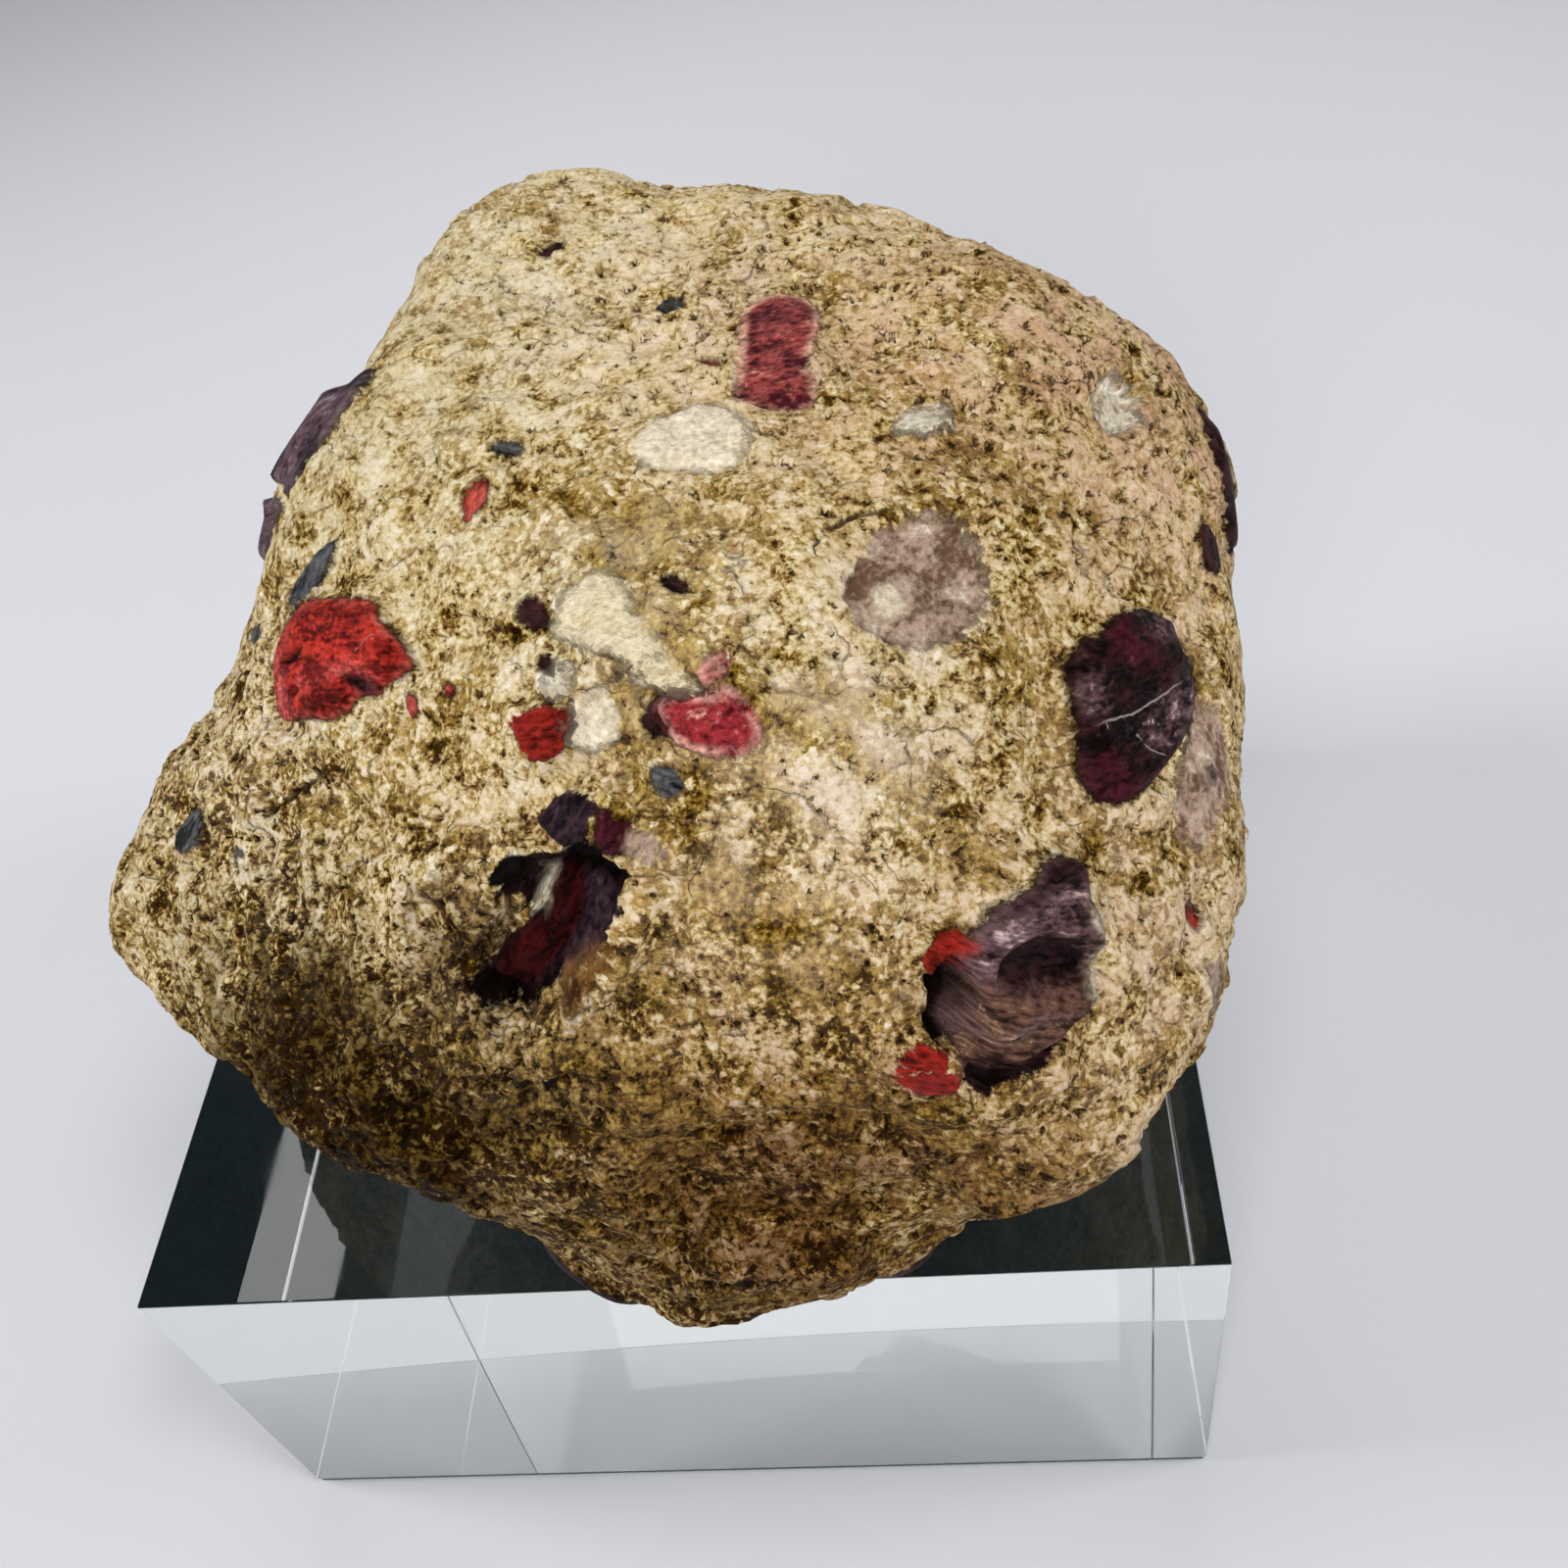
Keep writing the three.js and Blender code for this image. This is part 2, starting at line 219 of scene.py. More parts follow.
# What each kind of pebble looks like: its main colour, its dark blotches and its bruises, and how much of
# those two shows. cracks, rim, facet, seam (painted shade in the gap round it) and veins run from 0,
# none, to 1. blend is how far its edge fades into the sand, streak how far its blotches are drawn out, and
# gloss is 0 dull to 1 waxed.
traits = ("main", "dark", "pale", "darkShare", "paleShare", "cracks", "rim", "gloss", "facet", "seam",
          "blend", "veins", "streak")
finishes = {
    "scarlet": ("#a32c22", "#58110e", "#cf8270", 0.34, 0.27, 0.2, 0.35, 0.45, 0.6, 0.4, 0, 0.1, 0.35),
    "scarletDeep": ("#7c1d16", "#450d09", "#a04638", 0.38, 0.14, 0.25, 0, 0.45, 0.5, 0, 0, 0.05, 0.5),
    "bruised": ("#b04a44", "#7c2424", "#cf978c", 0.35, 0.34, 0.3, 0, 0.4, 0.7, 0, 0, 0.2, 0.4),
    "pinkRed": ("#88292f", "#4c1217", "#d8a596", 0.35, 0.3, 0.3, 0.9, 0.4, 0.5, 0.1, 0.1, 0.4, 0.1),
    "striped": ("#873c38", "#43161c", "#d2a38c", 0.5, 0.34, 0.2, 0.9, 0.4, 0.5, 0.1, 0.15, 0.4, 0.25),
    "crimson": ("#3a111a", "#1b080c", "#704046", 0.4, 0.2, 0.4, 0, 0.5, 0.6, 0.2, 0, 0.2, 0.3),
    "maroon": ("#2a1113", "#0d0707", "#6d4a4c", 0.5, 0.2, 0.6, 0.2, 0.5, 0.8, 0.4, 0, 0.35, 0.3),
    "streaky": ("#5e4649", "#1c1013", "#cdb4ae", 0.5, 0.42, 0.3, 0, 0.45, 0.5, 0, 0, 0.9, 0.75),
    "plum": ("#55444a", "#221a1e", "#98888a", 0.45, 0.35, 0.3, 0.2, 0.3, 0.4, 0.2, 0.2, 0.4, 0.7),
    "purple": ("#5b4142", "#2a1819", "#a08a86", 0.42, 0.34, 0.4, 0.2, 0.25, 0.4, 0.5, 0, 0.5, 0.6),
    # painted shade in the socket's hollow and under and in the purple pebble, and the dusky rock of its crest
    "shadeAndDuskyRock": ("#241316", "#0e0708", "#5d3f42", 0.4, 0.22, 0.3, 0, 0.3, 0.2, 0, 0, 0.2, 0.5),
    "flank": ("#33232a", "#140c10", "#6b5450", 0.45, 0.3, 0.4, 0, 0.3, 0.4, 0, 0.1, 0.4, 0.6),
    "tanFlow": ("#5c4034", "#281713", "#b29676", 0.5, 0.36, 0.5, 0, 0.2, 0.3, 0, 0, 0.7, 0.85),
    "slab": ("#300809", "#180505", "#481512", 0.35, 0.15, 0.3, 0, 0.35, 0.4, 0, 0, 0.05, 0.6),
    # painted shade in pits, splits and hollows, and the colour of a few black-brown bits
    "shadeAndBlackBits": ("#0e0806", "#050303", "#2a1e1a", 0.4, 0.2, 0.1, 0, 0.1, 0.3, 0, 0.1, 0.05, 0.5),
    "slate": ("#43454a", "#1a1b1e", "#85837f", 0.45, 0.25, 0.3, 0.3, 0.4, 0.5, 0.3, 0.1, 0.2, 0.4),
    "quartz": ("#c6bca6", "#94826a", "#f2eee6", 0.3, 0.45, 0.2, 0.1, 0.7, 0.7, 0.1, 0.5, 0.2, 0.1),
    "mauve": ("#a58d7b", "#624838", "#ded2c2", 0.42, 0.46, 0.3, 0, 0.4, 0.4, 0, 0.8, 0.25, 0.1),
    "cream": ("#cfc1a2", "#b09c72", "#e4dac4", 0.25, 0.4, 0.1, 0, 0.2, 0.3, 0, 0.7, 0.1, 0.3),
    "milky": ("#cfc2aa", "#b5a488", "#e8e0d2", 0.3, 0.4, 0.1, 0, 0.5, 0.5, 0, 0.6, 0, 0),
    "rust": ("#7a5528", "#3a2412", "#a98a52", 0.4, 0.3, 0.2, 0, 0.15, 0.2, 0, 0.6, 0.2, 0.7),
}

# Pebbles and chips, in the order they lie over each other. name, bearing, elevation, finish, rise (how far
# its face stands above the sand at its edge), turn of its length or grain, and shape: an outline's points,
# in millimetres to the right and up of that place, or a plain pebble's length and width, and any shift
pebbles = [
    ("cream flake", 15.6, 44, "cream", 0.45, 0, [
        (-5.2, 2.2), (-3.4, 4.6), (-0.6, 5.6), (0.8, 3.8), (0.9, 1.6), (1.5, -0.4), (2.2, -2.4), (3.5, -4.4),
        (1.9, -4.1), (0.2, -3.2), (-0.8, -1.2), (-2.8, 0.2)]),
    ("oval quartz", 43, 61.8, "milky", 0.3, -44, (7.8, 6.8)),
    ("mauve quartzite", 49, 37, "mauve", -0.4, 0, [
        (-6.9, 1), (-5.6, 3), (-3, 3.8), (0, 4.2), (3.4, 3.6), (5.2, 1.6), (5, -1.6), (3.2, -3.8),
        (-0.6, -4.4), (-3.8, -3.4), (-6, -1.4)]),
    ("white spot", 49, 37, "milky", 0.2, 20, (2.6, 2.2, -3.5, 0.4)),
    ("white quartz", 68, 45.8, "quartz", 0.3, -37, (4.6, 2.4)),
    ("grey quartz", 83.3, 31.7, "quartz", -0.3, 32, (5, 3.6)),
    ("yellow quartz", 9.4, 37.6, "milky", 0.35, 60, (4.4, 3.4)),
    ("grey quartz by the red", 5.7, 42, "quartz", 0.2, 39, (2.8, 2.3)),
    ("scarlet jasper", -37, 40.5, "scarlet", 0.5, 18, [
        (1.6, 5.3), (2.2, 4.6), (4, 3.9), (6.9, 2.7), (6.5, 1.4), (5.2, 0.4), (4.8, -0.6), (3.4, -1.5),
        (2.7, -2.6), (0.6, -4.2), (-1.6, -5), (-4.2, -6.4), (-6.6, -7.1), (-8.6, -5.8), (-10.5, -3.8),
        (-10.7, -2), (-9.8, 0.4), (-8.2, 2.2), (-5.2, 3.5), (-1, 4.8)]),
    ("scarlet upper band", -37, 40.5, "scarletDeep", 0.1, 0, [
        (-7.6, 1.2), (-4, 2.3), (-0.5, 3), (1.6, 3.5), (0.8, 4.3), (-2.4, 3.8), (-6, 2.6)]),
    ("scarlet right lobe", -37, 40.5, "scarletDeep", 0.15, 0, [
        (3.2, 3.4), (5, 3.2), (6.4, 2.5), (6.1, 1.5), (4.6, 1.3), (3.4, 2.2)]),
    ("scarlet lower lobe", -37, 40.5, "scarletDeep", 0.2, 0, [
        (-1.6, -2), (0.6, -1.4), (2.2, -1.6), (2.4, -2.6), (0.4, -3.8), (-1.6, -4.6), (-2.4, -3.6)]),
    ("scarlet scuffs", -37, 40.5, "bruised", 0, 0, [
        (-4, -2.6), (-2.2, -1.4), (0.8, 0.2), (3.4, 1), (4.8, 0.4), (3, -0.3), (0, -0.9), (-2.4, -2.6),
        (-4.6, -4.2)]),
    ("scarlet bruise", -37, 40.5, "bruised", 0, 0, [
        (-10.3, -2.2), (-8.4, -3.2), (-6.2, -4.2), (-4.6, -5), (-5, -6.3), (-6.8, -6.9), (-8.6, -5.6),
        (-10.2, -3.7)]),
    # painted shade in the scarlet jasper's pits
    ("scarlet long pit", -37, 40.5, "shadeAndBlackBits", -0.7, 0, [
        (-5.1, -0.5), (-5.9, -0.8), (-6.9, -1.7), (-8.3, -3), (-7, -2.8), (-5.9, -2.1), (-5.3, -1.3)]),
    ("scarlet small pit", -37, 40.5, "shadeAndBlackBits", -0.5, 0, [(-5, -4.1), (-4.6, -3.5), (-3.9, -3.5), (-4.1, -4)]),
    ("scarlet notch", -37, 40.5, "maroon", -0.3, 0, [
        (4.8, -0.2), (4, -1.1), (2.2, -1.1), (0.4, -0.8), (2, -0.2), (3.4, 0.1)]),
    ("red chip", -19.8, 38.8, "scarlet", 0.3, -46, (1.9, 1.3)),
    ("small red chip", -12.1, 41.1, "scarlet", 0.2, -41, (1.4, 1)),
    ("striped jasper", 78, 61.3, "striped", 0.35, -60, [
        (-6.6, 0), (-5.8, 1.5), (-3, 2.1), (0, 2.8), (2.6, 3.4), (5.2, 3.6), (6.6, 2.4), (6.9, 0.6),
        (6, -1.2), (3.4, -2), (0.4, -2.2), (-2.2, -2.2), (-2.9, -3.2), (-5.6, -3.6), (-6.4, -2)]),
    ("red fleck", 72.2, 67.7, "scarlet", 0.1, 68, (1.9, 0.7)),
    ("dark red chip", -175.7, 69.9, "maroon", 0.1, 41, (2.4, 1.1)),
    ("red splinter", -15.1, 63.9, "scarlet", 0.25, 88, (3.6, 1.9)),
    ("dark grey chip", -9.9, 71.3, "slate", 0.2, -13, (2.9, 1.4)),
    ("grey chip", 114.3, 73.3, "slate", 0.1, 40, (2.3, 1.8)),
    ("brown chip", 2.8, 48.7, "maroon", 0.25, -47, (2.8, 1.9)),
    ("maroon bit", 4.4, 43.4, "maroon", 0.1, -57, (1.5, 0.8)),
    ("maroon chip", 23.7, 47.2, "maroon", 0.1, -53, (1.9, 1.1)),
    ("slate pebble", 15.4, 31.8, "slate", 0.2, -20, (2.3, 1.9)),
    ("red pebble", 3.2, 37.4, "scarletDeep", 0.45, 8, (4.4, 3.6)),
    ("dark end of the pink jasper", 16.8, 37, "maroon", -0.3, 60, (2.8, 2.2)),
    ("pink jasper", 20.6, 35.6, "pinkRed", 0.35, 0, [
        (-2.6, 2.1), (-1, 2.4), (0.6, 1.7), (2, 1.6), (2.7, 0.4), (3.1, -1), (2.8, -2), (1.2, -2.3),
        (-0.8, -1.8), (-2.2, -0.6)]),
    ("pale pink", 23.3, 39.1, "pinkRed", 0.1, 24, (2.8, 1.8)),
    ("slate sliver", -58.1, 45.9, "slate", 0.3, 78, (7.2, 2.7)),
    ("plum pebble", -91, 54, "plum", 0.8, -72, (13, 5)),
    ("plum rind", -86, 37.5, "plum", 0.5, 80, (7, 4)),
    ("grey streak", -71.4, 28.8, "slate", 0.1, 36, (5, 1.8)),
    ("maroon jasper", 56, 19.4, "maroon", 0.5, -15, [
        (-6.9, -2), (-5.8, 0.2), (-4, 1.6), (-2.6, 3.4), (-1.6, 4.4), (0, 4.9), (1.8, 5), (2.3, 4.3),
        (4.2, 4.4), (6.4, 3.5), (8, 2.6), (9.3, 0.6), (8, -0.8), (7, -2.4), (6.2, -3.7), (4, -4.2),
        (1.4, -4.5), (-2.2, -4.3), (-3.8, -3.9), (-5.6, -3.6)]),
    ("maroon crimson end", 56, 19.4, "crimson", 0, 0, [
        (-6.6, -2.1), (-5.5, -0.2), (-4, -0.4), (-3.6, -2), (-4, -3.7), (-5.5, -3.5)]),
    ("maroon crimson face", 56, 19.4, "crimson", 0.1, 0, [
        (3, 4.1), (4.4, 4.1), (6.3, 3.2), (6, 1.6), (4.6, 0.3), (3, 0.3), (2.5, 2)]),
    ("maroon mauve rim", 56, 19.4, "streaky", 0.1, 0, [
        (6.2, 2.5), (7.6, 2.7), (9.1, 0.9), (8.4, 0.2), (6.4, 1.3)]),
    ("maroon streaks", 56, 19.4, "streaky", 0, 0, [
        (-0.4, -1.2), (2.4, -1.4), (5.6, -2.2), (6.1, -3.4), (3.4, -3.9), (0.6, -3.6), (-1, -2.4)]),
    ("maroon upper glints", 56, 19.4, "streaky", 0, 0, [
        (-2.2, 3.2), (-0.4, 3.4), (-0.6, 2), (-2.4, 1.2), (-3, 2)]),
    # painted shade in the socket's hollow, over its dark rock
    ("socket hollow", 0.4, 19.2, "shadeAndDuskyRock", -0.8, 50, [
        (-3.4, 2.6), (-2.6, 4.2), (-1.6, 5.6), (0.4, 6), (2.4, 6.2), (4, 7.5), (5.4, 7.2), (7.4, 5.2),
        (6.2, 3.4), (4.4, 0.2), (2.4, -1.6), (0.4, -3.4), (-2.2, -5.2), (-4.6, -5), (-6.3, -3.6), (-5.2, -3),
        (-3.4, -1), (-1.2, 0.8), (-0.4, 1.9), (-2.2, 1.8)]),
    ("socket flank", 0.4, 19.2, "flank", 0.9, 0, [
        (3.2, 4.2), (6.1, 3.6), (5.8, 2.4), (4.2, 0), (2.6, -1.4), (0.8, -3), (-0.8, -4.2), (-1.2, -3.6),
        (0.8, -1.8), (2.2, 0), (3.2, 2)]),
    ("socket rust", 0.4, 19.2, "rust", 0.2, 0, [
        (5.2, 0.9), (3.6, -0.2), (1.8, -1.8), (0.6, -3), (1.4, -3.9), (2.6, -3.2), (3.4, -1.8), (5, -0.4)]),
    ("socket top shade", 0.4, 19.2, "shadeAndBlackBits", -0.6, 0, [
        (2, 4.8), (2.6, 6.1), (4, 7.3), (5.2, 6.9), (6.2, 5.9), (7.2, 5), (6, 4), (3.6, 4.3)]),
    ("socket white rim", 0.4, 19.2, "quartz", 0.6, 0, [
        (-0.7, 1.6), (0.4, 2), (1, 3.2), (1.5, 4.7), (0.7, 4.6), (-0.1, 3)]),
    ("socket maroon", 0.4, 19.2, "crimson", 0.7, 0, [
        (5.2, 7.6), (5.5, 9.2), (6.4, 10), (7, 9.1), (8, 9.1), (7.9, 7.6), (7, 7), (6, 7)]),
    ("socket mauve", 0.4, 19.2, "mauve", 0.2, 0, [(7.6, 8.2), (9.2, 8.2), (9.6, 6.8), (7.6, 6.4)]),
    ("socket cap", 0.4, 19.2, "flank", 0.7, 0, [
        (0.6, 8.8), (2.2, 10), (3.2, 11), (4.6, 10.9), (5.9, 10.2), (5.1, 9.2), (4.4, 7.4), (3, 6.7),
        (1.8, 7.3)]),
    ("socket slab", 0.4, 19.2, "slab", 0.7, 0, [
        (-4.7, -3.6), (-4, -2.4), (-3.1, -1), (-1.4, 0.5), (0.3, 1.4), (0.9, 3.4), (1.7, 4.5), (3.2, 4.5),
        (3.4, 3), (3, 1.6), (1.8, -0.4), (0.6, -2), (-1, -3.6), (-2.4, -4.7), (-4, -4.4)]),
    # painted shade in the crack and the hollow at the socket's foot
    ("socket foot", 0.4, 19.2, "shadeAndBlackBits", -0.8, 0, [
        (-6.3, -3.3), (-5.4, -3.1), (-4.6, -4.2), (-3.2, -5), (-1.6, -5.1), (-2.4, -5.7), (-4.6, -5.5),
        (-6, -4.6)]),
    ("olive hollow", 0.4, 19.2, "shadeAndBlackBits", -0.8, 0, [
        (-1.6, -9), (-0.6, -8.2), (0.5, -7.3), (0, -8.6), (-0.9, -9.8)]),
    ("brown bit", -2.6, 25, "shadeAndBlackBits", -0.4, 44, (3.4, 1.8)),
    # painted shadow in the split beside the purple pebble
    ("shadowed split", 35.7, 14, "shadeAndBlackBits", -1.6, -28, [
        (-5.8, -0.2), (-4.6, 0.7), (-3.8, 1.3), (-4.1, -0.2), (-4.4, -2), (-4.8, -3.2), (-6.4, -4.8),
        (-7.4, -4.5), (-7.5, -2.9), (-6.1, -2)]),
    # painted shade under the purple pebble
    ("under the purple pebble", 35.7, 14, "shadeAndDuskyRock", -0.8, 0, [
        (-6.8, -6.4), (-4.4, -6), (-1.8, -5.9), (0.6, -5.6), (2.6, -5.4), (1.6, -6.2), (-1.4, -6.7),
        (-3, -7.4), (-4.8, -7.4), (-6.2, -8)]),
    ("dark foot", 35.7, 14, "tanFlow", 0.2, 0, [
        (-6.9, -5.8), (-5, -4.4), (-3.4, -4.2), (-1, -4.2), (1.6, -5.4), (-1, -5.9), (-3, -6.1),
        (-4.6, -6.4)]),
    ("purple pebble", 35.7, 14, "purple", 0.6, 0, [
        (-4.2, 1.1), (-2, 2.4), (0, 2.9), (2.4, 2.6), (4, 3), (5.6, 2.9), (7.1, 1.6), (6.4, 0.3),
        (5.6, -0.6), (5.4, -2), (5.4, -3.6), (4, -4.5), (2.7, -5.3), (0.6, -4.6), (-1.6, -4), (-3.6, -4.2),
        (-6.3, -4.6), (-4.9, -2.8), (-4.2, -1)]),
    ("purple dark crest", 35.7, 14, "shadeAndDuskyRock", 0, 0, [
        (-1.4, 2.5), (0.2, 2.8), (2.4, 2.5), (4, 2.9), (5.6, 2.8), (7, 1.6), (6.2, 0.6), (5.8, 1.4),
        (3.4, 1.8), (1.6, 1.9), (0, 2.3)]),
    ("purple pale band", 35.7, 14, "streaky", 0.1, 0, [
        (-3.8, 0.6), (-2.6, 1.9), (-0.6, 2.2), (1.8, 1.6), (4.4, 1.5), (5.8, 0.9), (5, 0.1), (2.4, 0.3),
        (0, 0.7), (-2.2, 0.4)]),
    # painted shade in the purple pebble's hollow
    ("purple hollow", 35.7, 14, "shadeAndDuskyRock", -0.9, 0, [
        (-2.7, -0.8), (-2, 0.2), (-0.8, 0.5), (1.8, 0.1), (2.6, -0.9), (3.5, -2), (4.3, -3.3), (3.4, -4),
        (1.4, -3.5), (0.2, -2.7), (-1.6, -1.8)]),
    ("purple tan flow", 35.7, 14, "tanFlow", 0.2, 0, [
        (-4, -0.6), (-2.7, -0.9), (-1.7, -2.1), (0.4, -3), (2.4, -4.1), (3.8, -4.4), (2.7, -5.2),
        (0.6, -4.6), (-1.4, -3.3), (-3.4, -3.7), (-5.6, -3.9), (-4.4, -3)]),
    # painted highlight on the purple pebble's right edge, in the quartz finish
    ("purple lit edge", 35.7, 14, "quartz", 0.3, 0, [
        (5.2, -0.5), (5.8, -0.8), (5.8, -3.6), (4.4, -4.7), (2.8, -5.7), (2.5, -5.1), (4, -4.3),
        (5.1, -3.4)]),
    ("orange red", 35.7, 14, "scarletDeep", 0.5, 0, [
        (-6.2, 0.3), (-5.8, 1.4), (-4.4, 2.2), (-3, 2.5), (-2.8, 1.6), (-3.8, 1), (-4.6, 0), (-5.8, -0.1)]),
    ("deep red", 35.7, 14, "scarletDeep", 0.6, 0, [
        (-10.9, -5), (-9.2, -3.6), (-8.4, -3.5), (-7.2, -4.8), (-7.6, -5.3), (-9.4, -4.9)]),
    ("deep red lower", 35.7, 14, "scarletDeep", 0.5, 0, [
        (-10.9, -5.3), (-9.2, -5), (-7.4, -5.5), (-7, -6.5), (-8, -7.2), (-10.2, -6.5)]),
    ("dark pebble at the right", 86, 18.5, "maroon", 0.5, 50, (12, 3.4)),
    ("maroon at the right", 77.5, 18.5, "maroon", 0.3, 44, (4.2, 2.6)),
    ("mauve patch", 58.5, 11.2, "mauve", 0.2, 22, (11, 5)),
    ("dot at the right", 59.1, 10.6, "slate", 0.1, 54, (1.3, 0.9)),
    ("red bit at the right", 49.7, 6.1, "scarlet", 0.1, 53, (2, 1.1)),
    ("pink bit at the right", 48.9, 0.7, "mauve", 0.1, -71, (5, 3)),
    ("dark grey at the left", -57.7, 9.2, "slate", 0.2, 80, (3.6, 2.8)),
    ("dot at the left", -47.2, 12.1, "slate", 0.1, 26, (1.4, 0.8)),
    ("dark left edge", -73.1, -3.4, "slate", 0.2, 43, (5, 2.4)),
]

# Pebbles on the sides that are turned away, each with a lump of its own. name, bearing, elevation, length,
# width, turn, height of the lump, finish, rise
hiddenPebbles = [
    ("maroon pebble underneath", -7, -33, 11, 8, -30, 1.2, "maroon", 0.5),
    ("maroon foot", 24, -23, 4.5, 4, 0, 0.8, "maroon", 0.4),
    ("quartz low on the right", 92, -28, 9, 7, 30, 0.9, "quartz", 0.3),
    ("maroon on the right", 108, -8, 10, 6, -25, 0.9, "maroon", 0.4),
    ("scarlet on the right back", 127, -24, 7, 5, 40, 0.8, "scarlet", 0.4),
    ("quartz on the right back", 128, 10, 10, 8, 15, 0.8, "quartz", 0.3),
    ("striped maroon at the back", 148, 4, 14, 8, -50, 1.1, "striped", 0.4),
    ("mauve cobble at the back", 166, -22, 15, 11, 20, -1.2, "mauve", -0.3),
    ("scarlet at the back", 170, 20, 6, 4.5, 70, 0.7, "scarlet", 0.4),
    ("grey pebble at the back", -174, -2, 8, 6, 10, 1, "slate", 0.4),
    ("maroon low at the back", -164, -34, 8, 6, -15, 0.9, "maroon", 0.4),
    ("quartz at the left back", -156, 12, 12, 8, 35, -1, "quartz", -0.3),
    ("scarlet at the left back", -143, 30, 8, 6, -20, 0.9, "scarlet", 0.4),
    ("plum at the left back", -140, -14, 11, 7, 60, 1.2, "plum", 0.5),
    ("mauve cobble at the left", -112, 2, 13, 9, -10, 0.8, "mauve", 0.3),
    ("maroon low at the left", -96, -26, 9, 6, 25, 1, "maroon", 0.4),
    ("quartz at the left corner", -80, -14, 8, 6, -40, 0.8, "quartz", 0.3),
    ("maroon under the left", -52, -38, 8, 6, 10, 0.9, "maroon", 0.4),
]
for row in hiddenPebbles:
    name, bearing, elevation, length, width, turn, height, finish, rise = row
    reliefs.append(row[:7])
    pebbles.append((name, bearing, elevation, finish, rise, turn, (length, width)))

pebble = {
    "points": 12, "threeLobes": 0.09, "fiveLobes": 0.06,  # how a plain one is out of round
    "margin": 2.5, "slope": (-0.45, 0.35), "overlap": 0.35,  # its edge, in millimetres out from its outline
    "drawnOut": 0.8, "apart": 7.3,  # its grain, and how far that lies from the next one's
}

# how many millimetres a line is felt, and how many half widths away it counts as past that
lineReach = {"near": 1.8, "far": 9.0}

# Veins of pale quartz, and dark cracks. name, bearing, elevation, then in millimetres from that place the
# middle of the line to the right and up, its length, turn, bend and width
paleVeins = [
    ("across the maroon jasper", 56, 19.4, 0.95, -0.4, 9.4, -18.6, -0.25, 0.13),
    ("low in the maroon jasper", 56, 19.4, -0.7, -3, 2, 120, 0.15, 0.1),
    ("on the scarlet jasper", -37, 40.5, 2.5, 2.5, 1.8, 46, 0.1, 0.08),
    ("across the striped maroon at the back", 148, 4, 0, 0.5, 10.4, -17, 0.5, 0.4),
]
darkCracks = [
    ("right of the oval quartz", 49, 40.7, -0.5, 2.4, 5.8, -20, 0.7, 0.3),
    ("under the cream plate", 19.1, 39, -1.5, 1, 8.8, -46, 0.3, 0.3),
    ("left of the socket", -7.5, 19, -1.7, 0.2, 7.6, -29, 0.4, 0.3),
    ("at the left", -40, 22.5, -0.6, -0.4, 7.6, 51, -0.2, 0.35),
    ("at the right back", 120, 30, 0, 0.5, 14.8, -20, -0.4, 0.35),
    ("at the left back", -130, 0, -0.5, -0.5, 13, 32, 0.4, 0.35),
]


def direction(bearing, elevation):
    b, e = math.radians(bearing), math.radians(elevation)
    return np.array((math.sin(b) * math.cos(e), -math.cos(b) * math.cos(e), math.sin(e)))


def blockReach(aims):
    total = np.zeros(len(aims))
    for name, bearing, elevation, reach in wornSides:
        total += np.maximum(aims @ direction(bearing, elevation) / reach, 0) ** stone["edgeSharpness"]
    return total ** (-1 / stone["edgeSharpness"])


def swellingHeight(aims):
    total = np.zeros(len(aims))
    for name, bearing, elevation, height, spread in swellings:
        angle = np.degrees(np.arccos(np.clip(aims @ direction(bearing, elevation), -1, 1)))
        total += height * np.exp(-((angle / spread) ** 2))
    return total


def localAxes(bearing, elevation, turn=0):  # outward, and the pebble's own right and up
    aim = direction(bearing, elevation)
    level = direction(bearing + 90, 0)
    upward = -np.cross(level, aim)
    t = math.radians(turn)
    return aim, level * math.cos(t) + upward * math.sin(t), upward * math.cos(t) - level * math.sin(t)


def localPlace(aims, at, turn=0):  # millimetres to the right and up, on a plane that touches the stone there
    aim, right, up = localAxes(*at, turn)
    reach = (blockReach(aim[None]) + swellingHeight(aim[None]))[0]
    facing = aims @ aim
    ahead = facing > stone["facing"]
    facing = np.where(ahead, facing, 1)
    return (aims @ right) / facing * reach, (aims @ up) / facing * reach, ahead


def smoothStep(values, low, high):
    t = np.clip((values - low) / (high - low), 0, 1)
    return t * t * (3 - 2 * t)


def reliefHeight(aims):
    total = np.zeros(len(aims))
    for name, bearing, elevation, length, width, turn, height in reliefs:
        along, across, ahead = localPlace(aims, (bearing, elevation), turn)
        along, across = along / (length / 2), across / (width / 2)
        lobes = 1 + softEdge["lobes"] * np.sin(3 * np.arctan2(across, along) + bearing)
        distance = np.hypot(along, across) * lobes
        total += np.where(ahead, height * (1 - smoothStep(distance, softEdge["flat"], softEdge["gone"])), 0)
    return total


def roundOutline(points, steps=4):  # a closed smooth curve through the points
    points = np.array(points, float)
    before, after, later = np.roll(points, 1, 0), np.roll(points, -1, 0), np.roll(points, -2, 0)
    curve = []
    for t in np.arange(steps) / steps:
        curve.append(0.5 * (2 * points + (after - before) * t
                            + (2 * before - 5 * points + 4 * after - later) * t ** 2
                            + (3 * points - before - 3 * after + later) * t ** 3))
    return np.stack(curve, 1).reshape(-1, 2)


